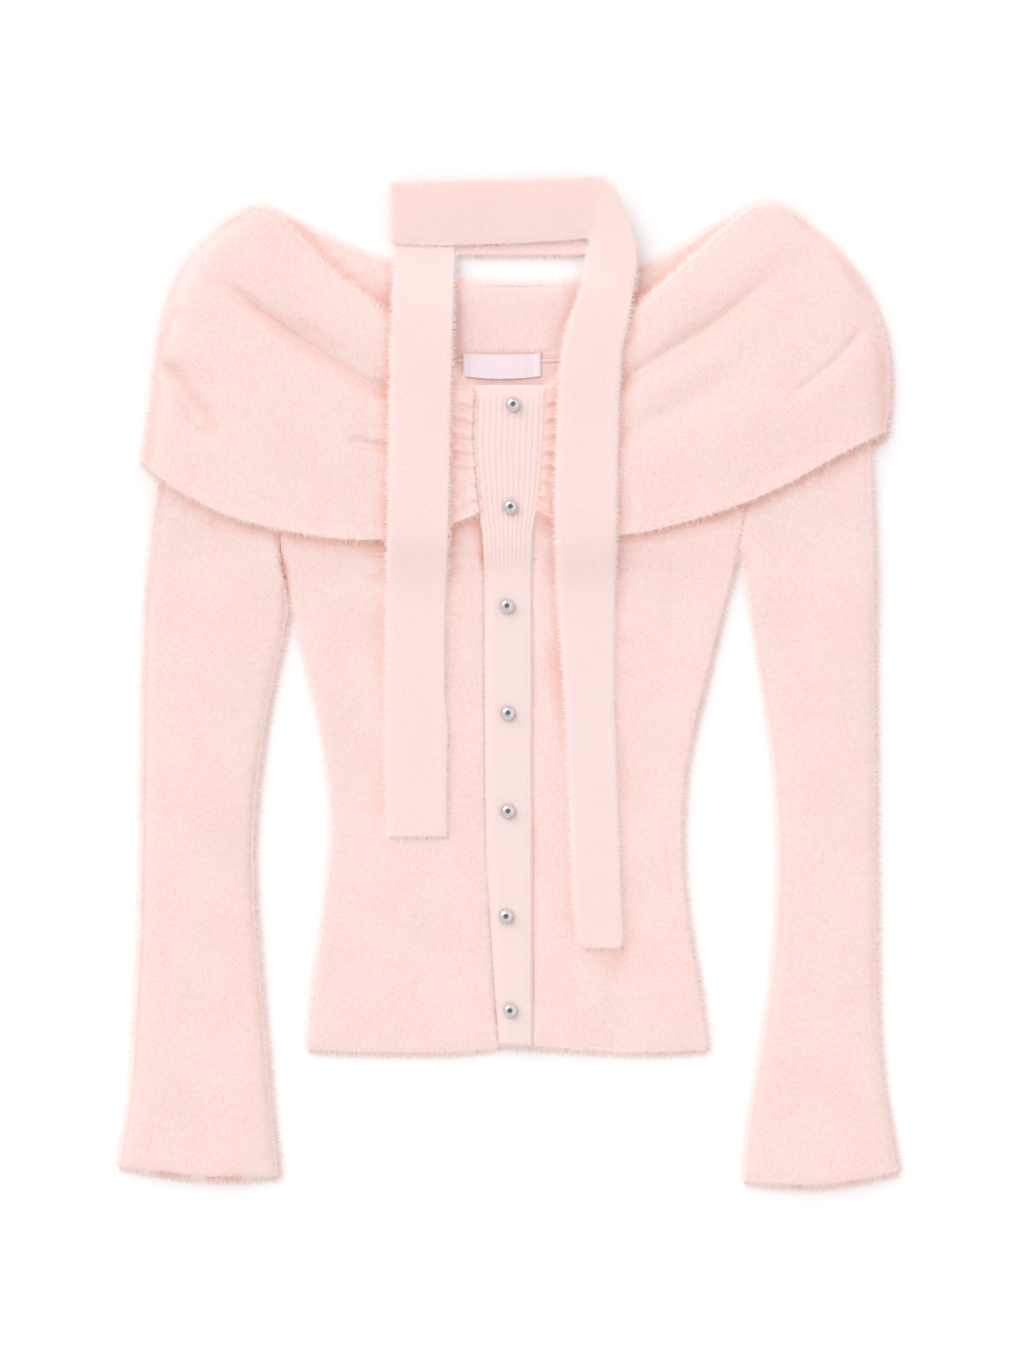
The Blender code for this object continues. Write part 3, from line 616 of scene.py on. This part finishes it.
# %% [markdown]
# The ribs are the same yarn with less brushing, so single stitches still show as a row of small
# V shapes down each rib, 1.7 mm apart. They are too fine to model, and a bump that repeats with
# the piece's own UV map follows the ribs as they spread.

# %% Rib knit
GROOVE_SHARE = 0.22  # of a rib's width, on either side of a groove, that gets painted shade
V_SLANT = 1.3  # stitches that a V rises over half a rib


def rib_knit_material(name, hex_colour, hex_groove_shade):
    """Rib knit with painted shade in its grooves where the ribs are spread."""
    found, tree, shader = new_material(name, Roughness=0.9, Sheen_Weight=0.3,
                                       Specular_IOR_Level=0.15)
    let_light_in(shader)
    spots = add_node(tree, "ShaderNodeUVMap", settings={"uv_map": "UVMap"}).outputs["UV"]
    parts = add_node(tree, "ShaderNodeSeparateXYZ", {"Vector": spots})
    half = add_node(tree, "ShaderNodeMath", {0: parts.outputs["X"]}, {"operation": "PINGPONG"})
    half.inputs[1].default_value = 0.5
    slant = add_node(tree, "ShaderNodeMath", {0: half.outputs[0], 2: parts.outputs["Y"]},
                     {"operation": "MULTIPLY_ADD"})
    slant.inputs[1].default_value = V_SLANT
    stitch = add_node(tree, "ShaderNodeMath", {0: slant.outputs[0]}, {"operation": "PINGPONG"})
    stitch.inputs[1].default_value = 0.5
    place = add_node(tree, "ShaderNodeTexCoord").outputs["Object"]
    fuzz = add_node(tree, "ShaderNodeTexNoise", {"Vector": place}, Scale=700.0, Detail=3.0)
    height = add_node(tree, "ShaderNodeMath", {0: stitch.outputs[0], 1: fuzz.outputs["Fac"]},
                      {"operation": "ADD"})
    # Where the painted shade of the grooves lies
    groove = add_node(tree, "ShaderNodeMapRange", {"Value": half.outputs[0]},
                      From_Min=0.0, From_Max=GROOVE_SHARE, To_Min=1.0, To_Max=0.0)
    spread = add_node(tree, "ShaderNodeMapRange", {"Value": parts.outputs["Y"]},
                      From_Min=SPREAD_Y[0] / STITCH_MM, From_Max=SPREAD_Y[1] / STITCH_MM,
                      To_Min=0.08, To_Max=1.0)
    ending = add_node(tree, "ShaderNodeMapRange", {"Value": parts.outputs["Y"]},
                      From_Min=(BAND_TOP - 18) / STITCH_MM, From_Max=(BAND_TOP - 4) / STITCH_MM,
                      To_Min=1.0, To_Max=0.0)
    strong = add_node(tree, "ShaderNodeMath", {0: spread.outputs[0], 1: ending.outputs[0]},
                      {"operation": "MULTIPLY"})
    share = add_node(tree, "ShaderNodeMath", {0: strong.outputs[0], 1: groove.outputs[0]},
                     {"operation": "MULTIPLY"})
    tint = add_node(tree, "ShaderNodeMix", {"Factor": share.outputs[0]}, {"data_type": "RGBA"})
    tint.inputs[6].default_value = linear(hex_colour)
    tint.inputs[7].default_value = linear(hex_groove_shade)
    # Shade of other cloth is painted in as well, where the band sees little sky
    tree.links.new(paint_shade(tree, tint.outputs[2]), shader.inputs["Base Color"])
    bump = add_node(tree, "ShaderNodeBump", {"Height": height.outputs[0]},
                    Strength=0.5, Distance=0.3 * MM)
    tree.links.new(bump.outputs[0], shader.inputs["Normal"])
    return found


# The second colour is the painted shade in the grooves
rib_knit = rib_knit_material("blush_rib_knit", "#fcdedb", "#f9d7d3")
walls["ribbed_band"] = ribbed_band("ribbed_band")
print("ribbed band:", triangles(walls["ribbed_band"]), "triangles,", RIBS, "ribs")


# %% [markdown]
# ## The linked seam at the back neck
#
# Inside the neck the back is joined to the collar by linking, which leaves a low ridge. It is a
# short curve with a round section, made a mesh, and it closes the slit between the two walls.

# %% A ridge along the back neck
def keep_on_points(mesh, name, values, kind="FLOAT"):
    """Keeps one value for each point of a mesh, for materials and node trees to read."""
    kept = mesh.attributes.new(name, kind, "POINT")
    kept.data.foreach_set("vector" if kind == "FLOAT_VECTOR" else "value", values)


def seam_ridge(name, points, radius_mm, look):
    path = bpy.data.curves.new(name, "CURVE")
    path.dimensions = "3D"
    path.bevel_depth = radius_mm * MM
    path.bevel_resolution = 3
    path.use_fill_caps = True
    line = path.splines.new("NURBS")
    line.points.add(len(points) - 1)
    for point, place in zip(line.points, points):
        point.co = (*(c * MM for c in place), 1)
    line.use_endpoint_u = True
    rough = new_object(name + "_rough", path)
    return plain_mesh(rough, name, look)


BACK_NECK_Y, RIDGE_Z, RIDGE_MM = 246.9, 4.8, 1.7
RIDGE_SKY = 0.85  # the share of open sky along the ridge, which lies in a shallow hollow, for its painted shade
BACK_NECK = [(x, BACK_NECK_Y + 0.5 * (x / 45) ** 2, RIDGE_Z) for x in range(-50, 51, 10)]
ridge = seam_ridge("back_neck_seam", BACK_NECK, RIDGE_MM, knit)
keep_on_points(ridge.data, "nap_sky", [RIDGE_SKY] * len(ridge.data.vertices))
print("seam ridge:", triangles(ridge), "triangles")


# %% [markdown]
# ## The satin label
#
# A woven ribbon folded under at both ends and caught at the back neck. Satin floats its threads
# over several others, so it is smooth along the ribbon and shines in a soft band across it.

# %% Satin ribbon
def satin_ribbon(name, hex_colour):
    found, tree, shader = new_material(name, Base_Color=linear(hex_colour), Roughness=0.34,
                                       Sheen_Weight=0.2)
    place = add_node(tree, "ShaderNodeTexCoord").outputs["Object"]
    threads = add_node(tree, "ShaderNodeTexWave", {"Vector": place},
                       {"bands_direction": "Y"}, Scale=500.0, Distortion=0.4)
    bump = add_node(tree, "ShaderNodeBump", {"Height": threads.outputs["Fac"]},
                    Strength=0.12, Distance=0.05 * MM)
    tree.links.new(bump.outputs[0], shader.inputs["Normal"])
    return found


satin = satin_ribbon("lilac_satin_ribbon", "#f1e0e6")
print("satin:", satin.name)


# %% The label, pressed and slightly curled
PRESSED = 0.45  # share of the loop's height that is left when the label lies pressed flat


def ribbon_curl(x, y, z):
    """The right end curls up beside a dent where it is caught, and the left end sinks."""
    return 0.35 * hump(x, 23.3, 1.6) - 0.9 * hump(x, 17.5, 2.4) - 0.7 * smooth_step(-26, -35, x)


label = soft_wall("neck_ribbon", "neck_label", rim_mm=0.15, look=satin)
low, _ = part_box("neck_label")
for vertex in label.data.vertices:
    vertex.co.z = low.z + (vertex.co.z - low.z) * PRESSED
raise_skin(label, ribbon_curl)
print("label:", triangles(label), "triangles")


# %% [markdown]
# ## The buttons
#
# Hollow domes pressed from steel and polished, on a shank that pulls them into the knit. Each is
# turned: a profile spun round the button's own axis, with a rolled foot, a dome and a shallow
# dimple at the crown. The dimple is painted with a dark reflection, and the foot with painted
# shade and dark reflection.

# %% Polished metal, and a dark copy for painted reflection and shade
def metal(name, hex_colour, roughness):
    found, tree, shader = new_material(name, Base_Color=linear(hex_colour), Metallic=1.0)
    place = add_node(tree, "ShaderNodeTexCoord").outputs["Object"]
    smears = add_node(tree, "ShaderNodeTexNoise", {"Vector": place}, Scale=900.0, Detail=2.0)
    gloss = add_node(tree, "ShaderNodeMapRange", {"Value": smears.outputs["Fac"]},
                     To_Min=roughness * 0.7, To_Max=roughness * 1.5)
    tree.links.new(gloss.outputs[0], shader.inputs["Roughness"])
    return found


polished = metal("polished_steel", "#e4e4e7", 0.12)
# Painted dark reflection and shade, for the dimple and the foot
painted_reflection_steel = metal("steel_painted_dark_reflection", "#757378", 0.3)


# %% Turn one button on its axis
# radius and height
PROFILE = [(0, 3.9), (0.9, 3.95), (1.5, 4.1), (1.9, 4.3), (2.4, 4.32), (3.2, 4.1), (3.9, 3.7),
           (4.5, 3.1), (4.85, 2.4), (4.95, 1.7), (4.9, 1.2), (5.2, 1.0), (5.4, 0.7), (5.3, 0.3),
           (4.9, 0.05), (0, 0)]
DIMPLE_MM = PROFILE[3][0] + 0.001  # radius inside which the crown is painted with a dark reflection
FOOT_MM = 0.6  # height below which the foot is painted with shade and dark reflection


def turned_button(name, node, steps=40):
    """A turned dome on the cut piece's place."""
    low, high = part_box(node)
    middle = (low + high) / 2
    bm = bmesh.new()
    points = [bm.verts.new((r * MM, 0, z * MM)) for r, z in PROFILE]
    edges = [bm.edges.new(pair) for pair in zip(points, points[1:])]
    bmesh.ops.spin(bm, geom=points + edges, cent=(0, 0, 0), axis=(0, 0, 1), angle=2 * pi,
                   steps=steps, use_duplicate=False)
    bmesh.ops.remove_doubles(bm, verts=bm.verts, dist=1e-6)
    bmesh.ops.recalc_face_normals(bm, faces=bm.faces)
    for face in bm.faces:
        face.smooth = True
        reach = max(hypot(v.co.x, v.co.y) for v in face.verts)
        in_dimple = reach <= DIMPLE_MM * MM
        in_foot = face.calc_center_median().z < FOOT_MM * MM
        # The dimple and the foot get the painted dark reflection and shade
        face.material_index = 1 if in_dimple or in_foot else 0
    bmesh.ops.translate(bm, verts=bm.verts, vec=(middle.x, middle.y, low.z))
    mesh = bpy.data.meshes.new(name)
    bm.to_mesh(mesh)
    bm.free()
    mesh.materials.append(polished)
    mesh.materials.append(painted_reflection_steel)
    return new_object(name, mesh)


buttons = {f"button_{n}": turned_button(f"dome_{n}", f"button_{n}") for n in range(1, 8)}
print(len(buttons), "buttons,", triangles(buttons["button_1"]), "triangles each")


# %% [markdown]
# ## The nap
#
# Brushing pulls fibre ends out of the yarn. They lie low over the cloth, mostly downwards, and
# stand straight out round every edge, where they are what the eye reads as fluff. Tens of
# thousands of hairs are a job for Geometry Nodes: points strewn over a wall, a tapered blade on
# each, leaning by a vector kept on the mesh. First each wall's points learn four things: if the
# place is in the open or lies under other cloth, which way the nap is combed there, how far it
# reaches, and how much of the sky it sees. Rays cast from a point answer the first and the last.

# %% Which places of the walls are open to the sky
cloth_tree = tree_of([*walls.values(), label])
SLANTS = [Vector((sin(radians(a)) * 0.8, cos(radians(a)) * 0.8, 0.6)) for a in range(0, 360, 60)]


def clear_ways(start, ways, reach_mm):
    """How many of the ways no cloth blocks within that reach."""
    return sum(cloth_tree.ray_cast(start, way, reach_mm * MM)[0] is None for way in ways)


def open_share(place, normal):
    """1 in the open, less where only slanting light gets in, 0 under other cloth."""
    start = place + normal * 0.6 * MM
    if clear_ways(start, [Vector((0, 0, 1))], 50):
        return 1.0
    return 0.8 if clear_ways(start, SLANTS, 20) > 1 else 0.0


# %% How much light gets in from the side
ELEVATIONS = (0.25, 0.6, -0.35)  # two rings of ways to the sky and one down to the white table
WAYS = [Vector((sin(a) * cos(up), cos(a) * cos(up), sin(up))) for up in ELEVATIONS
        for a in (2 * pi * k / 8 + up for k in range(8))]
KEY_PLACE = (-1.9, 2.0, 2.0)  # the studio's main light stands up there
TO_KEY = Vector(KEY_PLACE).normalized()
SHADE_REACH_MM = 16


def sky_share(place, normal):
    """Share of the ways in for light that no cloth blocks. The ways on the cloth's own side count,
    and those to the main light."""
    faced = [way for way in WAYS if way.dot(normal) > -0.2 or way.dot(TO_KEY) > 0.8]
    return clear_ways(place + normal * 0.5 * MM, faced, SHADE_REACH_MM) / len(faced)


# %% Keep all four on the walls' points
EDGE_MM, EDGE_REACH = 9.0, 1.35  # near an edge the nap stands outwards and is longer
OUTWARDS, DOWNWARDS = 1.1, Vector((0.05, -0.45, 0))
HIDDEN_SKY = 0.7  # sky share, and so painted shade, for points under other cloth, whose faces may still show at one corner
LEAST_SKY = {
    # wall: the least share it gets, so its painted shade stays light, for walls that lie low but in
    # soft, even light
    "back": 0.85, "back_collar": 0.6, "scarf_behind_neck": 0.9, "ribbed_band": 0.9,
    "right_collar": 0.5, "left_collar": 0.5, "right_tail": 0.94, "scarf_round_neck": 0.94,
}


def mark_nap(piece, least_sky):
    """Keeps the nap's place, lean and reach on a wall's points, and the sky it sees, for painted shade.
    """
    mesh = piece.data
    rim = [v for v in mesh.vertices if abs(v.normal.z) < STEEP]
    near = kdtree.KDTree(len(rim))
    for vertex in rim:
        near.insert(vertex.co, vertex.index)
    near.balance()
    shown, combed, length, sky = [], [], [], []
    for vertex in mesh.vertices:
        open_here = open_share(vertex.co, vertex.normal) if vertex.normal.z > -0.3 else 0.0
        _, index, away = near.find(vertex.co)
        outward = Vector(mesh.vertices[index].normal)
        outward.z = 0
        edge = exp(-((away / MM / EDGE_MM) ** 2))
        shown.append(open_here)
        seen = sky_share(vertex.co, vertex.normal) if open_here else HIDDEN_SKY
        sky.append(max(seen, least_sky))
        combed.extend(outward * OUTWARDS * edge + DOWNWARDS * (1 - edge))
        length.append(1 + (EDGE_REACH - 1) * edge)
    keep_on_points(mesh, "nap_shown", shown)
    keep_on_points(mesh, "nap_length", length)
    keep_on_points(mesh, "nap_sky", sky)
    keep_on_points(mesh, "nap_comb", combed, "FLOAT_VECTOR")


for name, piece in walls.items():
    mark_nap(piece, least_sky=LEAST_SKY.get(name, 0))
print("nap marked on", sum(len(p.data.vertices) for p in walls.values()), "points")


# %% One fibre end as a tapered blade
def blade(name, bent):
    """A hair one unit long and about one unit wide at its root."""
    if bent:
        points = [(-0.5, 0, 0), (0.5, 0, 0), (-0.36, -0.06, 0.5), (0.36, -0.06, 0.5),
                  (0, -0.25, 1)]
        faces = [(2, 3, 1, 0), (4, 3, 2)]
    else:
        points = [(-0.5, 0, 0), (0.5, 0, 0), (0, -0.1, 1)]
        faces = [(2, 1, 0)]
    mesh = bpy.data.meshes.new(name)
    mesh.from_pydata(points, [], faces)
    return new_object(name, mesh)


lying_blade = blade("lying_fibre", bent=False)
standing_blade = blade("standing_fibre", bent=True)


# %% [markdown]
# The fibre itself is fine and nearly white. Where it sees little sky, the light has passed
# through its neighbours, and that deeper tint is painted shade. A Principled shader with a strong
# sheen and no gloss is enough for it.

# %% Fibre
def fibre(name, hex_colour):
    found, tree, shader = new_material(name, Roughness=0.9, Sheen_Weight=0.4,
                                       Specular_IOR_Level=0.1)
    place = add_node(tree, "ShaderNodeTexCoord").outputs["Object"]
    # Random tone from fibre to fibre
    tone_and_painted_shade = add_node(tree, "ShaderNodeTexNoise", {"Vector": place}, Scale=160.0, Detail=1.0)
    tint = add_node(tree, "ShaderNodeMix", {"Factor": tone_and_painted_shade.outputs["Fac"]}, {"data_type": "RGBA"})
    red, green, blue, _ = linear(hex_colour)
    tint.inputs[6].default_value = (red * 0.97, green * 0.96, blue * 0.96, 1)
    tint.inputs[7].default_value = (min(red * 1.02, 1), green * 1.03, blue * 1.03, 1)
    # Painted shade where the fibre sees little sky
    tree.links.new(paint_shade(tree, tint.outputs[2]), shader.inputs["Base Color"])
    return found


nap_fibre = fibre("blush_fibre", "#fbe4e2")
# The edge fibre is a little lighter: painted light on hairs that stand out round an edge
edge_fibre = fibre("blush_edge_fibre", "#fbe6e3")
print("fibres:", nap_fibre.name, edge_fibre.name)


# %% [markdown]
# One tree grows both kinds of nap. A blade is flat, so each would catch the light in its own way
# and the cloth would glitter. Each is turned to face the sky and gets a shading normal that is
# mixed from the cloth's and straight up, so that thousands of them shade like one felt.

# %% The Geometry Nodes tree that grows a nap
EDGE_RISE = 0.75  # faces whose normal rises less than this count as an edge
PER_M2 = 1e6  # square millimetres in a square metre


def nap_tree(name, hair, edges_only):
    """A tree that strews hairs where nap_shown is over 0, on steep faces alone if edges_only."""
    tree = bpy.data.node_groups.new(name, "GeometryNodeTree")
    face = tree.interface
    face.new_socket("Geometry", in_out="INPUT", socket_type="NodeSocketGeometry")
    for title, value in (("Hairs per mm2", 1.0), ("Length mm", 4.0), ("Width mm", 0.3),
                         ("Stand", 0.5), ("Stray", 0.5)):
        face.new_socket(title, in_out="INPUT", socket_type="NodeSocketFloat").default_value = value
    face.new_socket("Seed", in_out="INPUT", socket_type="NodeSocketInt")
    face.new_socket("Fibre", in_out="INPUT", socket_type="NodeSocketMaterial")
    face.new_socket("Geometry", in_out="OUTPUT", socket_type="NodeSocketGeometry")
    given = add_node(tree, "NodeGroupInput").outputs
    shown = add_node(tree, "GeometryNodeInputNamedAttribute", Name="nap_shown").outputs[0]
    comb = add_node(tree, "GeometryNodeInputNamedAttribute",
                    settings={"data_type": "FLOAT_VECTOR"}, Name="nap_comb").outputs[0]
    reach = add_node(tree, "GeometryNodeInputNamedAttribute", Name="nap_length").outputs[0]
    if edges_only:
        up = add_node(tree, "ShaderNodeSeparateXYZ",
                      {0: add_node(tree, "GeometryNodeInputNormal").outputs[0]}).outputs["Z"]
        steep = add_node(tree, "FunctionNodeCompare", {"A": up}, {"operation": "LESS_THAN"},
                         B=EDGE_RISE)
        shown = add_node(tree, "ShaderNodeMath", {0: shown, 1: steep.outputs[0]},
                         {"operation": "MULTIPLY"}).outputs[0]
    thinned = add_node(tree, "ShaderNodeMath", {0: given["Hairs per mm2"], 1: shown},
                       {"operation": "MULTIPLY"})
    density = add_node(tree, "ShaderNodeMath", {0: thinned.outputs[0]}, {"operation": "MULTIPLY"})
    density.inputs[1].default_value = PER_M2
    strewn = add_node(tree, "GeometryNodeDistributePointsOnFaces",
                      {"Mesh": given["Geometry"], "Density": density.outputs[0],
                       "Seed": given["Seed"]})
    stray = add_node(tree, "FunctionNodeRandomValue", {"Seed": given["Seed"]},
                     {"data_type": "FLOAT_VECTOR"})
    stray.inputs[0].default_value = (-1, -1, -0.6)
    stray.inputs[1].default_value = (1, 1, 0.8)
    skyward = add_node(tree, "ShaderNodeVectorMath", {0: strewn.outputs["Normal"]},
                       {"operation": "MULTIPLY_ADD"})
    off_cloth, straight_up = (0.5, 0.9) if edges_only else (1.2, 0.3)
    skyward.inputs[1].default_value = (off_cloth, off_cloth, off_cloth)
    skyward.inputs[2].default_value = (0, 0, straight_up)
    kept = add_node(tree, "GeometryNodeStoreNamedAttribute",
                    {"Geometry": strewn.outputs["Points"], "Value": skyward.outputs[0]},
                    {"data_type": "FLOAT_VECTOR", "domain": "POINT"}, Name="nap_shade")
    standing = add_node(tree, "ShaderNodeVectorMath",
                        {0: strewn.outputs["Normal"], "Scale": given["Stand"]},
                        {"operation": "SCALE"})
    straying = add_node(tree, "ShaderNodeVectorMath",
                        {0: stray.outputs[0], "Scale": given["Stray"]}, {"operation": "SCALE"})
    leaning = add_node(tree, "ShaderNodeVectorMath", {0: standing.outputs[0], 1: comb},
                       {"operation": "ADD"})
    way = add_node(tree, "ShaderNodeVectorMath", {0: leaning.outputs[0], 1: straying.outputs[0]},
                   {"operation": "ADD"})
    turned = add_node(tree, "FunctionNodeAlignRotationToVector", {"Vector": way.outputs[0]},
                      {"axis": "Z"})
    rotation = add_node(tree, "FunctionNodeAlignRotationToVector",
                        {"Rotation": turned.outputs[0], "Vector": skyward.outputs[0]},
                        {"axis": "Y", "pivot_axis": "Z"})
    vary = add_node(tree, "FunctionNodeRandomValue", {"Seed": given["Seed"]})
    vary.inputs[2].default_value = 0.5
    vary.inputs[3].default_value = 1.0
    skewed = add_node(tree, "ShaderNodeMath", {0: vary.outputs[1]}, {"operation": "POWER"})
    skewed.inputs[1].default_value = 2.0 if edges_only else 1.0
    own = add_node(tree, "ShaderNodeMath", {0: skewed.outputs[0], 1: reach},
                   {"operation": "MULTIPLY"})
    long = add_node(tree, "ShaderNodeMath", {0: own.outputs[0], 1: given["Length mm"]},
                    {"operation": "MULTIPLY"})
    size = add_node(tree, "ShaderNodeCombineXYZ",
                    {"X": given["Width mm"], "Y": long.outputs[0], "Z": long.outputs[0]})
    small = add_node(tree, "ShaderNodeVectorMath", {0: size.outputs[0]}, {"operation": "SCALE"},
                     Scale=MM)
    shape = add_node(tree, "GeometryNodeObjectInfo", Object=hair)
    hairs = add_node(tree, "GeometryNodeInstanceOnPoints",
                     {"Points": kept.outputs["Geometry"], "Instance": shape.outputs["Geometry"],
                      "Rotation": rotation.outputs[0], "Scale": small.outputs[0]})
    real = add_node(tree, "GeometryNodeRealizeInstances", {"Geometry": hairs.outputs[0]})
    spot = add_node(tree, "ShaderNodeSeparateXYZ",
                    {0: add_node(tree, "GeometryNodeInputPosition").outputs[0]})
    floor = add_node(tree, "ShaderNodeMath", {0: spot.outputs["Z"]}, {"operation": "MAXIMUM"})
    floor.inputs[1].default_value = 0.1 * MM
    above = add_node(tree, "ShaderNodeCombineXYZ", {"X": spot.outputs["X"], "Y": spot.outputs["Y"],
                                                    "Z": floor.outputs[0]})
    seated = add_node(tree, "GeometryNodeSetPosition",
                      {"Geometry": real.outputs[0], "Position": above.outputs[0]})
    shade = add_node(tree, "GeometryNodeInputNamedAttribute",
                     settings={"data_type": "FLOAT_VECTOR"}, Name="nap_shade").outputs[0]
    shaded = add_node(tree, "GeometryNodeSetMeshNormal",
                      {"Mesh": seated.outputs[0], "Custom Normal": shade}, {"mode": "FREE"})
    dyed = add_node(tree, "GeometryNodeSetMaterial",
                    {"Geometry": shaded.outputs[0], "Material": given["Fibre"]})
    add_node(tree, "NodeGroupOutput", {"Geometry": dyed.outputs[0]})
    return tree


lying = nap_tree("nap_lying_on_cloth", lying_blade, edges_only=False)
standing = nap_tree("nap_round_edges", standing_blade, edges_only=True)
print("nap inputs:", [s.name for s in lying.interface.items_tree if s.in_out == "INPUT"])


# %% Grow a nap on a wall and keep it as plain mesh
def grow_nap(name, wall, tree, **values):
    rough = new_object(name + "_rough", wall.data)
    grown = rough.modifiers.new("Nap", "NODES")
    grown.node_group = tree
    values.setdefault("Fibre", nap_fibre)
    for socket in tree.interface.items_tree:
        if socket.in_out == "INPUT" and socket.name in values:
            grown[socket.identifier] = values[socket.name]
    nap = plain_mesh(rough, name, values["Fibre"])
    # A blade is drawn about ten times wider than real fibre, so its shade would be far too strong.
    nap.visible_shadow = False
    nap.visible_diffuse = False
    return nap


FRINGE_LENGTH, FRINGE_WIDTH = 1.6, 0.75  # of the lying nap's
FRINGE_SEED = 50
NAPS = {
    # wall: (hairs a square millimetre, length, width, hairs a square millimetre on its edges)
    "back": (0.6, 3.6, 0.34, 3.4),
    "right_front": (0.6, 3.6, 0.34, 3.4),
    "left_front": (0.6, 3.6, 0.34, 3.4),
    "right_sleeve": (0.6, 3.6, 0.34, 2.5),
    "left_sleeve": (0.6, 3.6, 0.34, 2.5),
    "button_band": (0.6, 2.6, 0.34, 2.2),
    "ribbed_band": (0.4, 2.5, 0.28, 2.8),
    "back_collar": (0.6, 3.6, 0.34, 3.1),
    "right_collar": (0.6, 3.6, 0.42, 2.4),
    "left_collar": (0.6, 3.6, 0.42, 2.4),
    "scarf_round_neck": (0.6, 2.6, 0.36, 2.5),
    "scarf_behind_neck": (0.6, 2.6, 0.36, 2.5),
    "right_tail": (0.6, 2.6, 0.36, 2.5),
}
naps = {}
for seed, (name, (dense, length, width, edge)) in enumerate(NAPS.items()):
    naps[name] = [
        grow_nap(f"{name}_nap", walls[name], lying, Seed=seed, Stand=0.35, Stray=0.55,
                 **{"Hairs per mm2": dense, "Length mm": length, "Width mm": width}),
        grow_nap(f"{name}_fringe", walls[name], standing, Seed=seed + FRINGE_SEED, Stand=0.7,
                 Stray=0.45, Fibre=edge_fibre,
                 **{"Hairs per mm2": edge, "Length mm": length * FRINGE_LENGTH,
                    "Width mm": width * FRINGE_WIDTH}),
    ]
bpy.data.objects.remove(lying_blade)
bpy.data.objects.remove(standing_blade)
print("nap triangles:", {name: [triangles(p) for p in pair] for name, pair in naps.items()})


# %% [markdown]
# ## Which body and cut piece each one stands for
#
# The cardigan has no moving parts, so everything rides on the one body. Every wall replaces its
# cut piece, which is hidden. The seam ridge has no cut piece of its own.

# %% Ride and replace
NODES_OF = {**{name: [node] for name, (node, _) in WALLS.items()}, "ribbed_band": ["band_upper"],
            "scarf_round_neck": ["scarf_neck", "scarf_tail_left"]}
for name, piece in walls.items():
    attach(piece, "root")
    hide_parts(*NODES_OF[name])
    for nap in naps[name]:
        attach(nap, "root")
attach(ridge, "root")
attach(label, "root")
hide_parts("neck_label")
for node, piece in buttons.items():
    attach(piece, "root")
    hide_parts(node)
shown_pieces = [p for p in bpy.context.scene.objects if p.type == "MESH" and not p.hide_render]
print("triangles shown:", sum(triangles(p) for p in shown_pieces))


# %% [markdown]
# ## The studio
#
# A white table, one large soft light high to the upper left, a window's weak light from the
# right, and a room bright enough to fill the shadows. The camera hangs straight above with a
# portrait lens, so the cloth is seen almost without perspective: 0.77 mm of cloth to a pixel of
# the 1020 by 1360 picture.

# %% Table
HALF_TABLE = 6
CORNERS = [(x * HALF_TABLE, y * HALF_TABLE, 0) for x, y in ((-1, -1), (1, -1), (1, 1), (-1, 1))]
floor_mesh = bpy.data.meshes.new("table_top")
floor_mesh.from_pydata(CORNERS, [], [(0, 1, 2, 3)])
table_top = new_object("table_top", floor_mesh)
paper, _, _ = new_material("white_paper", Base_Color=linear("#fbfafa"), Roughness=0.95,
                           Specular_IOR_Level=0.0)
table_top.data.materials.append(paper)
print("table", 2 * HALF_TABLE, "m wide")


# %% Lights
world = bpy.data.worlds.new("bright_room")
bpy.context.scene.world = world
world.use_nodes = True
room = world.node_tree.nodes["Background"]
room.inputs["Color"].default_value = (1, 0.99, 0.985, 1)
room.inputs["Strength"].default_value = 0.74


def far_softbox(name, place, width_degrees, strength):
    """A light so far away that all of the cloth gets the same, from a patch of sky that wide."""
    lamp = bpy.data.lights.new(name, "SUN")
    lamp.angle = radians(width_degrees)
    lamp.energy = strength
    holder = bpy.data.objects.new(name, lamp)
    holder.location = place
    holder.rotation_euler = (-Vector(place)).to_track_quat("-Z", "Y").to_euler()
    bpy.context.scene.collection.objects.link(holder)


far_softbox("key_softbox", KEY_PLACE, 54, 1.55)
far_softbox("window", (2.2, 0.5, 1.7), 100, 0.32)
print("lights:", len(bpy.data.lights))


# %% Camera
PICTURE_PX, SCALE_MM = 1360, 0.77  # the picture's height, and a pixel's size on the cloth
LENS_MM, SENSOR_MM = 85, 36
MIDDLE_X_MM, MIDDLE_Y_MM = 1.015, 1.24  # the picture's middle on the cloth
CLOTH_LEVEL = 0.008
lens = bpy.data.cameras.new("overhead_camera")
lens.lens = LENS_MM
lens.sensor_width = SENSOR_MM
camera = bpy.data.objects.new("overhead_camera", lens)
height = PICTURE_PX * SCALE_MM * MM * LENS_MM / SENSOR_MM + CLOTH_LEVEL
camera.location = (MIDDLE_X_MM * MM, MIDDLE_Y_MM * MM, height)
bpy.context.scene.collection.objects.link(camera)
bpy.context.scene.camera = camera
bpy.context.scene.view_settings.view_transform = "Standard"
print("camera", round(camera.location.z, 3), "m above the table")
